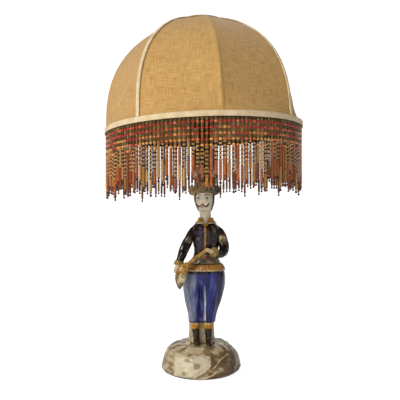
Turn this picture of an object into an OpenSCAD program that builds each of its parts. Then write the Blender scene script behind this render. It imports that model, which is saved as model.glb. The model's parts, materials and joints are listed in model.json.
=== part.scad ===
// Majolica table lamp: a glazed pottery figure on a rock base carries a brass
// lampholder and a cloth dome shade with a beaded fringe. Millimetres, +Z up.
// The origin is on the table under the middle of the base, and the figure faces -Y.

/* [Rock base] */
// Width of the rock base at its widest
base_d = 156; // [144:1:176]
// Height of the ledge that the figure stands on, above the table
base_h = 53; // [46:1:66]
// Width of the ledge at the top of the rock
ledge_d = 96; // [90:1:110]
// Thickness of the rock's clay wall
rock_wall = 9; // [7:0.5:12]
// Depth of the carving in the rock's side
rock_relief = 3; // [0:0.1:4]
// Thickness of the felt disc glued under the rock
felt_t = 2; // [1:0.5:4]

/* [Figure heights] */
// Height of the boots
boot_h = 30; // [24:1:40]
// Height of the stocking bands above the boots
sock_h = 12; // [8:1:18]
// Height of the trousers
trouser_h = 102; // [90:1:120]
// Height of the ribbed belt
belt_h = 14; // [10:1:20]
// Height of the jacket, from the belt to the neck
jacket_h = 86; // [76:1:100]
// Height of the neck and head, up to the hat
head_h = 54; // [42:1:58]
// Height of the hat, up to the seat of the brass cap
hat_h = 6; // [5:1:12]
// Height of the hat's brim above that seat
brim_h = 6; // [3:0.5:10]

/* [Figure widths] */
// Width of the pottery support behind the boots
support_w = 52; // [48:1:60]
// Width of one boot at its top
boot_w = 15; // [13:0.5:17]
// Width of both trouser legs together at the ankle
ankle_w = 54; // [50:1:62]
// Width of the trousers at the hips
hip_w = 86; // [80:1:94]
// Width of the jacket at the waist
waist_w = 49; // [46:1:56]
// Width of the jacket at the chest
chest_w = 58; // [56:1:66]
// Width of the neck
neck_w = 23; // [21:0.5:26]
// Width of the head
head_w = 37; // [34:0.5:42]
// Width of the hat from tip to tip of its brim
hat_w = 60; // [58:1:70]
// Thickness of an upper arm
arm_w = 20; // [17:0.5:21]
// Thickness of the hair
hair_t = 2.6; // [1.5:0.1:4]

/* [Lute] */
// Width of the lute's body
lute_w = 22; // [18:0.5:25]
// Depth of the lute's body from front to back
lute_t = 12; // [9:0.5:13]
// Width of the lute's neck
lute_neck_w = 6.5; // [4:0.5:7.5]

/* [Lamp tube] */
// Outer diameter of the threaded tube
tube_d = 10; // [9:0.5:11]
// Bore of the threaded tube
tube_bore = 7; // [5:0.5:7.5]
// How far the tube stands to the right of the base's middle
tube_x = 10.5; // [8:0.5:12]
// Lean of everything above the hat, towards the left
lean = 2.1; // [0.5:0.1:4]
// Width across the flats of the nut under the rock
nut_af = 17; // [15:0.5:20]
// Height of that nut
nut_h = 6; // [4:0.5:8]
// Width of the washer under the rock
washer_d = 32; // [26:1:40]
// Thickness of the washer
washer_t = 2; // [1:0.5:3]
// Bore of the bush that the mains lead passes through
bush_bore = 7; // [6:0.5:8]
// Height of that bush above the table
bush_z = 15; // [13:0.5:18]

/* [Brass column] */
// Width of the brass cap and of the brass cup
brass_d = 44; // [40:1:46]
// Height of the brass cap
cap_h = 29; // [24:1:36]
// Height of the brass cup
cup_h = 54; // [44:1:64]
// Thickness of the spun brass
brass_t = 1.2; // [0.8:0.1:2]

/* [Lampholder] */
// Outer diameter of the lampholder's shell
holder_d = 30; // [29:0.5:33]
// Height of the lampholder's lower cap
holder_cap_h = 14; // [12:0.5:18]
// Height of the lampholder's threaded shell
holder_shell_h = 46; // [44:0.5:54]
// Diameter of the bulb's screw
screw_d = 13.9; // [13:0.1:14.5]
// Outer diameter of the two ring nuts
ring_nut_d = 42; // [39:0.5:46]
// Height of each ring nut
ring_nut_h = 6; // [4:0.5:7]
// Diameter of the glass bulb
bulb_d = 45; // [40:1:60]

/* [Shade frame] */
// Width of the dome across two opposite ribs, over the cloth
dome_d = 382; // [360:1:420]
// Rise of the ribs' curve, from the rim to where it would meet in the middle
dome_h = 218; // [200:1:250]
// Width of the open ring at the top
top_ring_d = 92; // [80:1:120]
// Thickness of the rim's wire
rim_wire = 4; // [3:0.5:5]
// Thickness of the ribs' wire
rib_wire = 3; // [2:0.5:4]
// How far the shade's carrier ring lies above the rim's wire
carrier_rise = 11; // [6:0.5:16]
// Turn of the first rib from the front, towards the right
rib_turn = 9; // [0:0.5:45]

/* [Cloth and braid] */
// Thickness of the cloth panels
cloth_t = 1; // [0.8:0.1:2]
// Thickness of the braid
braid_t = 1.2; // [0.8:0.1:2]
// Width of the braid round the rim
rim_braid_w = 9.5; // [8:0.5:14]
// Width of the braid over a rib
rib_braid_w = 7.5; // [6:0.5:10]

/* [Fringe] */
// Strands in each of the eight stretches of fringe
strands = 20; // [12:1:24]
// Length of the longest strand
strand_long = 131; // [100:1:150]
// Length of the shortest strand
strand_short = 94; // [70:1:98]
// Thickness of a strand of beads
bead_d = 3.4; // [2:0.1:4.2]
// Height of the woven tape that the strands hang from
tape_h = 7; // [5:0.5:9]

/* [Hidden] */
$fn = 64;

// Clearances: between pieces that only touch, round the tube, and in a running fit
touch = 0.2;
tube_gap = 0.6;
run_gap = 0.06;
seat_gap = 0.1;

// Heights of the stacked pottery, from the ledge up
z_sock = base_h + boot_h;
z_trousers = z_sock + sock_h;
z_belt = z_trousers + trouser_h;
z_jacket = z_belt + belt_h;
z_head = z_jacket + jacket_h;
z_hat = z_head + head_h;
z_seat = z_hat + hat_h;

// Heights in the leaning stack, measured along it from the same level as the rest
z_cup = z_seat + cap_h;
z_holder = z_cup + cup_h;
z_shell = z_holder + holder_cap_h;
z_mouth = z_shell + holder_shell_h;
nut_drop = 6;
z_nut_top = z_mouth - nut_drop;
carrier_t = 2.5;
z_carrier = z_nut_top - ring_nut_h - seat_gap - carrier_t;
z_rim = z_carrier + carrier_t / 2 - carrier_rise;

// Radii of the shade, from the wire out to the braid
// The rim's braid stands out a little past the dome
rim_d = dome_d + 8;
rib_r = dome_d / 2 - cloth_t - touch - rib_wire / 2;
bays = 8;
bay = 360 / bays;
bay_parts = 6;
panels = 4;
// The cloth's flat facets need this much more room round the rim's wire
slack = rim_d / 2 * (1 - cos(bay / bay_parts / 2));
rim_r = rim_d / 2 - braid_t - cloth_t - 2 * touch - slack - rim_wire / 2;
top_r = top_ring_d / 2;
// The ribs' curve is a super-ellipse with these two powers
rib_p = 1.74;
rib_q = 2.6;
rib_steps = 14;
// How soon the cloth goes from the round rim to the flat bays, and in to the ribs
flat_h = 22;
flare_h = 8;

// Where the figure's sections stand, left to right
hips_x = 6;
chest_x = 11;
support_x = 2;
face_x = 7.5;

// Smooth curve through a list of rows, with k steps between two of them
function curve(a, b, c, d, t) =
    0.5 * (2 * b + (c - a) * t + (2 * a - 5 * b + 4 * c - d) * t * t
        + (3 * b - a - 3 * c + d) * t * t * t);
function smooth(rows, k) = [
    for (i = [0 : len(rows) - 2], s = [0 : k - 1])
        curve(rows[max(i - 1, 0)], rows[i], rows[i + 1],
            rows[min(i + 2, len(rows) - 1)], s / k),
    rows[len(rows) - 1]
];
function unit(v) = v / norm(v);

// Point at angle t on the outline of a row [height, x, y, half-width, half-depth, crease]
crease_w = 6;
function outline(row, t, grow = 0) =
    let (x = (row[3] + grow) * cos(t),
        y = (row[4] + grow) * sin(t),
        from_crease = (row[1] + x) / crease_w)
    [row[1] + x, row[2] + y * (1 - row[5] * exp(-from_crease * from_crease)), row[0]];

// Closed skin over rings of points that run anticlockwise seen along their order.
// A strip's ring goes out along one face and back along the other.
module skin(rings, strip = false) {
    n = len(rings[0]);
    top = (len(rings) - 1) * n;
    sides = [for (j = [0 : len(rings) - 2], i = [0 : n - 1])
        let (a = j * n + i, b = j * n + (i + 1) % n)
        each [[a, a + n, b + n], [a, b + n, b]]];
    pairs = [for (i = [0 : n / 2 - 2]) each [[i, i + 1, n - 2 - i], [i, n - 2 - i, n - 1 - i]]];
    low = strip ? pairs : [[for (i = [0 : n - 1]) i]];
    high = strip ? [for (f = pairs) [f[2] + top, f[1] + top, f[0] + top]]
        : [[for (i = [n - 1 : -1 : 0]) i + top]];
    polyhedron([for (r = rings) each r], concat(sides, low, high), convexity = 6);
}

// Body whose level sections follow rows, as thrown and pressed clay does
module form(rows, k = 3, sides = 28) {
    skin([for (r = smooth(rows, k)) [for (i = [0 : sides - 1]) outline(r, 360 * i / sides)]]);
}

// Skin between two offsets of a form, over the angles from t0 to t1. Up the rows it
// opens by the angle spread at each side, and it grows thicker by swell.
module wrap(rows, low, high, t0, t1, parts = 14, spread = 0, swell = 0) {
    last = len(rows) - 1;
    skin([for (j = [0 : last])
        let (up = j / last, from = t0 + spread * up, to = t1 - spread * up, out = high + swell * up)
        concat(
            [for (i = [0 : parts]) outline(rows[j], from + (to - from) * i / parts, out)],
            [for (i = [parts : -1 : 0]) outline(rows[j], from + (to - from) * i / parts, low)])],
        strip = true);
}

// Rounded limb along rows [x, y, z, half-width, half-depth]
function spot(row) = [row[0], row[1], row[2]];
function heading(rows, i) =
    unit(spot(rows[min(i + 1, len(rows) - 1)]) - spot(rows[max(i - 1, 0)]));
module limb(rows, sides = 16) {
    skin([for (i = [0 : len(rows) - 1])
        let (t = heading(rows, i), u = unit(cross([0, 1, 0], t)), v = cross(t, u))
        [for (s = [0 : sides - 1])
            spot(rows[i]) + rows[i][3] * cos(360 * s / sides) * u
                + rows[i][4] * sin(360 * s / sides) * v]]);
}
// Stands its children on the end of a limb
module on_end(rows) {
    t = heading(rows, len(rows) - 1);
    translate(spot(rows[len(rows) - 1]))
        rotate([0, acos(t[2]), atan2(t[1], t[0])])
            children();
}

// Everything above the hat leans about the middle of the brass cap's seat
module leaning() {
    translate([tube_x, 0, z_seat]) rotate([0, -lean, 0]) translate([0, 0, -z_seat]) children();
}
// Ring or tube between two heights
module ring(r_out, r_in, z0, z1) {
    translate([0, 0, z0]) difference() {
        cylinder(r = r_out, h = z1 - z0);
        translate([0, 0, -1]) cylinder(r = r_in, h = z1 - z0 + 2);
    }
}
// Way for the lamp tube, straight up to the hat's seat and leaning from there
module tube_way(z0, z1) {
    translate([tube_x, 0, z0]) cylinder(r = tube_d / 2 + tube_gap, h = z1 - z0);
}

// Rock base and what is under it
foot_r = base_d / 2 - 3;
hollow_z = base_h - rock_wall;
rock_sides = 44;
rock_rows = [
    [felt_t, foot_r, 0.2],
    [felt_t + 0.11 * base_h, base_d / 2, 0.5],
    [0.4 * base_h, base_d / 2 - 1, 1],
    [0.6 * base_h, base_d / 2 - 5, 1],
    [0.78 * base_h, base_d / 2 - 11, 1],
    [0.88 * base_h, ledge_d / 2 + 12, 1],
    [0.95 * base_h, ledge_d / 2 + 7, 0.7],
    [base_h, ledge_d / 2, 0.3]
];
function carving(t, z) =
    0.5 * sin(3 * t + 40) + 0.3 * sin(5 * t + 110 + 3 * z) + 0.35 * sin(9 * t - 4 * z);
module rock() {
    skin([for (row = rock_rows) [for (i = [0 : rock_sides - 1])
        let (t = 360 * i / rock_sides,
            r = row[1] + row[2] * rock_relief * (carving(t, row[0]) - 0.6))
        [r * cos(t), r * sin(t), row[0]]]]);
}
// The bush's flange seats on a small level patch cut in the rock's back
bush_r = bush_bore / 2 + 1.5;
flange_r = bush_bore / 2 + 4;
flange_t = 2;
patch_y = base_d / 2 - 6;
hollow_r = foot_r - rock_wall;
module bush_place(y) {
    translate([0, y, bush_z]) rotate([-90, 0, 0]) children();
}
module felt_pad() {
    color("darkgreen") cylinder(r = foot_r - 4, h = felt_t);
}
module rock_base() {
    color("wheat") difference() {
        rock();
        rotate_extrude() polygon([
            [0, felt_t - 1], [hollow_r, felt_t - 1], [hollow_r, 0.45 * hollow_z],
            [ledge_d / 2 - 4, hollow_z], [0, hollow_z]
        ]);
        tube_way(hollow_z - 1, base_h + 1);
        bush_place(patch_y) cylinder(r = flange_r + 1, h = 20);
        bush_place(0) cylinder(r = bush_r + run_gap, h = base_d);
    }
}
module cord_bush() {
    color("goldenrod") difference() {
        union() {
            bush_place(hollow_r - 4) cylinder(r = bush_r, h = patch_y - hollow_r + 4);
            bush_place(patch_y) cylinder(r = flange_r, h = flange_t);
        }
        bush_place(0) cylinder(r = bush_bore / 2, h = base_d);
    }
}

// Figure, below the belt
support_rows = [
    [base_h, support_x, 6, support_w / 2 + 2, 17, 0],
    [base_h + 0.4 * boot_h, support_x, 6, support_w / 2, 14, 0],
    [z_trousers, support_x, 6, support_w / 2 - 1, 14, 0]
];
module leg_support() {
    color("linen") difference() {
        form(support_rows, 2);
        tube_way(base_h - 1, z_trousers + 1);
    }
}
// Places of the two legs at the ankle and at the sole, left to right
right_leg = [-10.5, -7];
left_leg = [16, 16.5];
module boot(leg) {
    w = boot_w / 2;
    color("saddlebrown") difference() {
        form([
            [base_h, leg[1], -19, w - 1.2, 12, 0],
            [base_h + 0.18 * boot_h, leg[1], -18.5, w - 0.8, 12, 0],
            [base_h + 0.38 * boot_h, leg[1] * 0.6 + leg[0] * 0.4, -13, w - 0.8, 8.5, 0],
            [z_sock, leg[0], -10, w, 9, 0]
        ], 3, 20);
        form(support_rows, 2);
    }
}
module sock(leg) {
    w = boot_w / 2 + 1.2;
    color("goldenrod") difference() {
        form([
            [z_sock, leg[0], -10, w, 10.5, 0],
            [z_sock + sock_h / 2, leg[0], -10, w + 1, 11, 0],
            [z_trousers, leg[0], -10, w + 0.4, 10.5, 0]
        ], 2, 20);
        form(support_rows, 2);
    }
}
module right_boot() { boot(right_leg); }
module left_boot() { boot(left_leg); }
module right_sock() { sock(right_leg); }
module left_sock() { sock(left_leg); }

hips_d = hip_w * 0.72;
module trousers() {
    color("royalblue") difference() {
        form([
            [z_trousers, 3, -2, ankle_w / 2, ankle_w * 0.37, 0.3],
            [z_trousers + 0.16 * trouser_h, 3.5, -2, ankle_w / 2 + 1.5, ankle_w * 0.39, 0.66],
            [z_trousers + 0.4 * trouser_h, 5, -1, hip_w * 0.42, hips_d * 0.41, 0.5],
            [z_trousers + 0.64 * trouser_h, hips_x, -1, hip_w * 0.48, hips_d * 0.47, 0.3],
            [z_trousers + 0.8 * trouser_h, hips_x, -1, hip_w / 2, hips_d / 2, 0.06],
            [z_trousers + 0.92 * trouser_h, hips_x, -1, hip_w / 2, hips_d / 2, 0],
            [z_belt, hips_x, -1, hip_w / 2 - 1.5, hips_d / 2 - 1, 0]
        ], 2, 40);
        tube_way(z_trousers - 1, z_belt + 1);
    }
}
module belt() {
    color("peru") difference() {
        form([
            [z_belt, hips_x, -1, hip_w / 2 - 0.5, hips_d / 2, 0],
            [z_belt + 0.3 * belt_h, hips_x, -1, hip_w / 2, hips_d / 2 + 0.5, 0],
            [z_jacket, 8, -1, hip_w / 2 - 7, hips_d / 2 - 3, 0]
        ], 3);
        tube_way(z_belt - 1, z_jacket + 1);
    }
}

// Figure, above the belt
waist_d = waist_w * 0.84;
chest_d = chest_w * 0.74;
shoulder_z = z_head - 0.19 * jacket_h;
jacket_rows = [
    [z_jacket, 8, -1, hip_w / 2 - 8, hips_d / 2 - 5, 0],
    [z_jacket + 0.08 * jacket_h, 9, -1, waist_w / 2 + 4, waist_d / 2 + 3, 0],
    [z_jacket + 0.18 * jacket_h, 10, 0, waist_w / 2, waist_d / 2, 0],
    [z_jacket + 0.34 * jacket_h, chest_x, 0, waist_w / 2, waist_d / 2, 0],
    [z_jacket + 0.52 * jacket_h, chest_x, 0, chest_w / 2 - 1.5, chest_d / 2, 0],
    [shoulder_z - 10, chest_x + 1, 0, chest_w / 2, chest_d / 2, 0],
    [shoulder_z, chest_x, 0, chest_w / 2 - 2, chest_d / 2, 0],
    [z_head - 7, tube_x, 0, neck_w / 2 + 8.5, neck_w / 2 + 6.5, 0],
    [z_head, tube_x, 0, neck_w / 2 + 2, neck_w / 2 + 2, 0]
];
jacket_steps = 2;
core_top = z_head - 0.3 * jacket_h;
module jacket() {
    color("darkslategray") difference() {
        form(jacket_rows, jacket_steps);
        tube_way(z_jacket - 1, z_head + 1);
        translate([chest_x, 0, z_jacket - 1])
            cylinder(r = waist_w / 2 - 9, h = core_top - z_jacket + 1);
    }
}
// The placket follows the jacket's front, and the collar lies on its shoulders
jacket_skin = smooth(jacket_rows, jacket_steps);
front = 270;
placket_t = 1.5;
placket_turn = 4;
collar_t = 2.6;
collar_open = 12;
collar_spread = 15;
module jacket_placket() {
    rows = [for (i = [5 : len(jacket_skin) - 3]) jacket_skin[i]];
    color("goldenrod")
        wrap(rows, touch, placket_t, front - 4 - placket_turn, front - 4 + placket_turn, 2);
}
module collar() {
    shoulders = [for (i = [len(jacket_skin) - 3 : len(jacket_skin) - 1]) jacket_skin[i]];
    stand = [z_head + 5, tube_x, 0, neck_w / 2 + 1.2, neck_w / 2 + 1.2, 0];
    color("goldenrod")
        wrap(concat(shoulders, [stand]), touch, collar_t, front + collar_open,
            front + 360 - collar_open, 24, collar_spread);
}
// Arms run from the shoulder to the wrist, planned in steps of the jacket's height
arm = arm_w / 2;
step = jacket_h / 86;
function joint_at(x, y, down, w, d) = [step * x, step * y, shoulder_z - step * down, arm + w, arm + d];
right_arm_rows = smooth([
    joint_at(-4, 2, -5, -3, -3),
    joint_at(-13, 1, 5, -0.5, 0),
    joint_at(-22, -1, 20, 0, 0),
    joint_at(-31, -5, 38, 0, -0.5),
    joint_at(-37, -10, 54, -1, -1),
    joint_at(-41, -14, 65, -2, -2)
], 2);
left_arm_rows = smooth([
    joint_at(26, 2, -4, -3, -3),
    joint_at(37, 1, 8, 0, 0),
    joint_at(44, -3, 24, 1, 1),
    joint_at(47, -9, 38, 0, 0),
    joint_at(44, -17, 48, -1, -1),
    joint_at(36, -26, 49, -2, -2),
    joint_at(30, -31, 47, -2.5, -2.5)
], 2);
module arm_piece(rows) {
    color("darkslategray") difference() {
        limb(rows);
        form(jacket_rows, jacket_steps);
    }
}
cuff_h = 8;
module cuff(rows) {
    r = arm - 1.5;
    color("goldenrod") on_end(rows)
        rotate_extrude() polygon([[0, 0], [r, 0], [r + 1.5, cuff_h * 0.4], [r + 0.5, cuff_h], [0, cuff_h]]);
}
module hand(rows, long) {
    color("linen") on_end(rows) translate([0, 0, cuff_h])
        form([
            [0, 0, 0, 4.5, 5.5, 0],
            [long * 0.35, 0, 0, 5, 6.5, 0],
            [long * 0.75, 0, 0, 4, 6, 0],
            [long, 0, 0, 2, 3.5, 0]
        ], 2, 16);
}
hand_long = 17;
module right_arm() { arm_piece(right_arm_rows); }
module left_arm() { arm_piece(left_arm_rows); }
module right_cuff() { cuff(right_arm_rows); }
module left_cuff() { cuff(left_arm_rows); }
module right_hand() { hand(right_arm_rows, hand_long); }
// The left hand closes round the lute's neck
module left_hand() {
    color("linen") difference() {
        hand(left_arm_rows, hand_long);
        limb(lute_neck_rows(touch));
    }
}

// The lute is held low across the front, its body beside the hip
lute_y = -hips_d / 2 - 1 - lute_t / 2;
lute_r = lute_w / 2;
lute_joint = [-24, lute_y, z_jacket + 3];
lute_head = [15, lute_y, z_jacket + 31];
module lute_body() {
    color("burlywood") limb(smooth([
        concat(lute_joint, [lute_neck_w / 2 + 0.5, 3]),
        concat(lute_joint + [-6, 0, -6], [lute_r * 0.72, lute_t * 0.42]),
        concat(lute_joint + [-12, 0, -17], [lute_r, lute_t / 2]),
        concat(lute_joint + [-15, 0, -30], [lute_r * 0.95, lute_t / 2]),
        concat(lute_joint + [-16, 0, -42], [lute_r * 0.55, lute_t * 0.4]),
        concat(lute_joint + [-16, 0, -50], [1.5, 1.5])
    ], 2));
}
lute_neck_t = 5;
function lute_neck_rows(grow) =
    let (along = unit(lute_head - lute_joint),
        half = [lute_neck_w / 2 + grow, lute_neck_t / 2 + grow])
    [concat(lute_joint + along * 0.8, half), concat(lute_head, half)];
module lute_neck() {
    color("goldenrod") limb(lute_neck_rows(0));
}

head_rows = [
    [z_head, tube_x, 0, neck_w / 2, neck_w / 2, 0],
    [z_head + 0.25 * head_h, tube_x - 1, -0.5, neck_w / 2, neck_w / 2 + 0.5, 0],
    [z_head + 0.44 * head_h, tube_x - 2, -2, head_w * 0.4, head_w * 0.42, 0],
    [z_head + 0.63 * head_h, face_x + 0.5, -2, head_w * 0.48, head_w * 0.48, 0],
    [z_head + 0.82 * head_h, face_x, -1.5, head_w / 2, head_w / 2, 0],
    [z_hat, face_x, -1, head_w / 2 - 0.5, head_w / 2 - 0.5, 0]
];
head_steps = 2;
head_skin = smooth(head_rows, head_steps);
module head() {
    color("ivory") difference() {
        form(head_rows, head_steps);
        tube_way(z_head - 1, z_hat + 1);
    }
}
module hair() {
    rows = [for (i = [3 : len(head_skin) - 1]) head_skin[i]];
    color("black") wrap(rows, touch, hair_t / 3, -25, 205, 20, 0, hair_t * 2 / 3);
}
module hat() {
    z_brim = z_seat + brim_h;
    color("darkkhaki") difference() {
        form([
            [z_hat, face_x - 1, 0, head_w / 2 + 4, head_w / 2 + 3, 0],
            [z_hat + 0.4 * hat_h, face_x - 1, 0, hat_w / 2 - 1.5, brass_d / 2 + 0.5, 0],
            [z_hat + 0.8 * hat_h, tube_x - 3.5, 0, hat_w / 2, brass_d / 2 + 2.5, 0],
            [z_brim, tube_x - 2, 0, hat_w / 2 - 3, brass_d / 2 + 3, 0]
        ], 2);
        tube_way(z_hat - 1, z_seat + 1);
        leaning() translate([0, 0, z_seat]) cylinder(r = brass_d / 2 + 1, h = brim_h + 3);
    }
}

// Lamp tube with its nut and washer
tube_foot = hollow_z - washer_t - nut_h - 5;
tube_end = z_holder + 5;
// The tube is a little thicker at its bend
bend_bulge = 0.4;
module bent_rod(r, over) {
    translate([tube_x, 0, tube_foot - over]) cylinder(r = r, h = z_seat - tube_foot + over);
    translate([tube_x, 0, z_seat]) sphere(r = r + bend_bulge);
    leaning() translate([0, 0, z_seat]) cylinder(r = r, h = tube_end - z_seat + over);
}
module lamp_tube() {
    color("silver") difference() {
        bent_rod(tube_d / 2, 0);
        bent_rod(tube_bore / 2, 1);
    }
}
module bottom_washer() {
    color("silver") translate([tube_x, 0, 0])
        ring(washer_d / 2, tube_d / 2 + touch, hollow_z - washer_t, hollow_z);
}
module bottom_nut() {
    z0 = hollow_z - washer_t - nut_h;
    color("silver") translate([tube_x, 0, z0]) difference() {
        cylinder(d = nut_af / cos(30), h = nut_h, $fn = 6);
        translate([0, 0, -1]) cylinder(r = tube_d / 2 + run_gap, h = nut_h + 2);
    }
}

// Spun brass cap and cup
brass_r = brass_d / 2;
waist_r = brass_r - 7;
hole_r = tube_d / 2 + tube_gap;
module brass_cap() {
    color("goldenrod") leaning() translate([0, 0, z_seat]) rotate_extrude() polygon([
        [hole_r, 0], [brass_r - 3, 0], [brass_r - 1, 3],
        [brass_r - 1, 0.34 * cap_h], [brass_r, 0.45 * cap_h],
        [brass_r, 0.75 * cap_h], [brass_r - 2, 0.86 * cap_h], [waist_r, 0.9 * cap_h],
        [waist_r, cap_h], [hole_r, cap_h], [hole_r, cap_h - brass_t],
        [waist_r - brass_t, cap_h - brass_t], [waist_r - brass_t, 0.88 * cap_h],
        [brass_r - 2 - brass_t, 0.8 * cap_h], [brass_r - 1 - brass_t, 0.7 * cap_h],
        [brass_r - 1 - brass_t, 0.5 * cap_h], [brass_r - 3, 0.3 * cap_h],
        [brass_r - 4, brass_t], [hole_r, brass_t]
    ]);
}
module brass_cup() {
    r = brass_r - brass_t;
    color("gold") leaning() translate([0, 0, z_cup]) rotate_extrude() polygon([
        [hole_r, 0], [waist_r, 0], [brass_r - 1, 6], [brass_r, 12], [brass_r, cup_h - 5],
        [brass_r - 2, cup_h - 2], [holder_d / 2 + 1, cup_h], [hole_r, cup_h],
        [hole_r, cup_h - brass_t], [r - 2, cup_h - brass_t - 1],
        [r, cup_h - 6], [r, 12.5], [r - 1, 7], [waist_r - 1, brass_t], [hole_r, brass_t]
    ]);
}

// Lampholder, from its cap up
holder_r = holder_d / 2;
holder_wall = 1;
screw_r = screw_d / 2;
shell_t = 0.5;
liner_r = screw_r + run_gap + shell_t;
insert_r = holder_r - holder_wall - touch;
z_insert = z_holder + 7;
z_well = z_insert + 17;
insert_top = z_mouth - 10;
module holder_cap() {
    color("goldenrod") leaning() difference() {
        translate([0, 0, z_holder]) cylinder(r = holder_r, h = holder_cap_h);
        translate([0, 0, z_holder + 2]) cylinder(r = insert_r + touch, h = holder_cap_h);
        translate([0, 0, z_holder - 1]) cylinder(r = tube_d / 2 + run_gap, h = 5);
    }
}
module holder_shell() {
    color("goldenrod") leaning() ring(holder_r, holder_r - holder_wall, z_shell, z_mouth);
}
screw_x = 8;
module holder_insert() {
    color("white") leaning() difference() {
        translate([0, 0, z_insert]) cylinder(r = insert_r, h = insert_top - z_insert);
        translate([0, 0, z_well]) cylinder(r = liner_r + touch, h = insert_top);
        for (s = [-1, 1])
            translate([s * screw_x, 0, z_insert - 1]) cylinder(r = 1.5 + run_gap, h = 7);
    }
}
module holder_screw_shell() {
    color("gold") leaning() ring(liner_r, screw_r + run_gap, z_well, insert_top - 1);
}
contact_h = 3;
module holder_contact() {
    color("gold") leaning() translate([0, 0, z_well]) {
        cylinder(r = 3, h = contact_h - 1);
        cylinder(r = 2, h = contact_h);
    }
}
module terminal_screws() {
    color("gold") leaning() for (s = [-1, 1]) translate([s * screw_x, 0, z_insert]) {
        cylinder(r = 1.5, h = 5);
        translate([0, 0, -2.5]) cylinder(r = 2.8, h = 2.5);
    }
}
module ring_nut(z) {
    color("goldenrod") leaning() difference() {
        union() {
            translate([0, 0, z]) cylinder(r = ring_nut_d / 2 - 1, h = ring_nut_h);
            translate([0, 0, z + ring_nut_h * 0.2]) cylinder(r = ring_nut_d / 2, h = ring_nut_h * 0.6);
        }
        translate([0, 0, z - 1]) cylinder(r = holder_r + run_gap, h = ring_nut_h + 2);
    }
}
module lower_ring_nut() { ring_nut(z_carrier - seat_gap - ring_nut_h); }
module upper_ring_nut() { ring_nut(z_nut_top - ring_nut_h); }

// Bulb, screwed down to just above the contact
bulb_r = bulb_d / 2;
z_bulb = z_well + contact_h + seat_gap;
bulb_cap_h = 22;
z_glass = z_bulb + 2 + bulb_cap_h;
module bulb_cap() {
    color("silver") leaning() {
        translate([0, 0, z_bulb]) cylinder(r1 = 3, r2 = 4.5, h = 2);
        translate([0, 0, z_bulb + 2]) cylinder(r = screw_r, h = bulb_cap_h);
    }
}
module bulb_glass() {
    neck_r = screw_r + 1.5;
    ball_z = bulb_r * 0.9 + 9;
    color("whitesmoke") leaning() translate([0, 0, z_glass]) difference() {
        union() {
            cylinder(r = neck_r, h = ball_z);
            translate([0, 0, ball_z]) sphere(r = bulb_r);
        }
        translate([0, 0, 1]) cylinder(r = neck_r - 1, h = ball_z);
        translate([0, 0, ball_z]) sphere(r = bulb_r - 1);
    }
}

// Shade frame: a carrier ring with arms, a rim ring, a top ring and the ribs
function rib_at(a) = [rib_r * pow(cos(a), 2 / rib_p), dome_h * pow(sin(a), 2 / rib_q)];
top_a = acos(pow(top_r / rib_r, rib_p / 2));
// Station i on a rib, moved out by d at right angles to the rib: [radius, height]
foot_a = 0.12;
function station(i) = foot_a + (top_a - foot_a) * pow(i / rib_steps, 1.6);
function rib_out(i, d) =
    let (a = station(i), p = rib_at(a), v = unit(rib_at(a + 0.1) - rib_at(a - 0.1)))
    [p[0] + d * v[1], p[1] - d * v[0]];
function from_front(t) = [sin(t), -cos(t), 0];

module torus(r, wire, z) {
    translate([0, 0, z]) rotate_extrude() translate([r, 0]) circle(d = wire, $fn = 32);
}
arm_d = 4;
module shade_carrier() {
    reach = rim_r - rim_wire / 2;
    start = ring_nut_d / 2 - 1;
    z0 = z_carrier + carrier_t / 2;
    drop = z0 - z_rim;
    tilt = atan2(drop, reach - start);
    color("silver") leaning() difference() {
        union() {
            ring(start + 2, holder_r + 4 * touch, z_carrier, z_carrier + carrier_t);
            for (i = [0 : 3]) rotate([0, 0, rib_turn + bay + i * 90 - 90])
                translate([start + 1, 0, z0]) rotate([0, 90 + tilt, 0])
                    cylinder(d = carrier_t, h = norm([reach - start, drop]));
        }
        torus(rim_r, rim_wire + 2 * touch, z_rim);
    }
}
module rim_ring() {
    color("silver") leaning() torus(rim_r, rim_wire, z_rim);
}
z_top = z_rim + rib_at(top_a)[1];
module top_ring() {
    color("silver") leaning() torus(top_r - rib_wire, rib_wire, z_top);
}
module shade_ribs() {
    color("silver") leaning() for (b = [0 : bays - 1]) rotate([0, 0, rib_turn + b * bay - 90])
        difference() {
            limb(concat([[rib_r, 0, z_rim + carrier_t / 2 + touch, rib_wire / 2, rib_wire / 2]],
                [for (i = [0 : rib_steps])
                    let (p = rib_out(i, 0))
                    [p[0], 0, z_rim + p[1], rib_wire / 2, rib_wire / 2]]), 8);
            torus(rim_r, rim_wire + touch, z_rim);
            torus(top_r - rib_wire, rib_wire + touch, z_top);
        }
}

// Cloth, drawn flat between two ribs and round at the rim
function flatness(h) = 1 - exp(-h / flat_h);
function cloth_at(t, i, d) =
    let (p = rib_out(i, d),
        from_mid = (t - rib_turn) - bay * floor((t - rib_turn) / bay) - bay / 2,
        flat = cos(bay / 2) / cos(from_mid),
        w = flatness(p[1]),
        r = (p[0] + flare(p[1])) * (1 - w + w * flat))
    r * from_front(t) + [0, 0, z_rim + p[1]];
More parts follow.
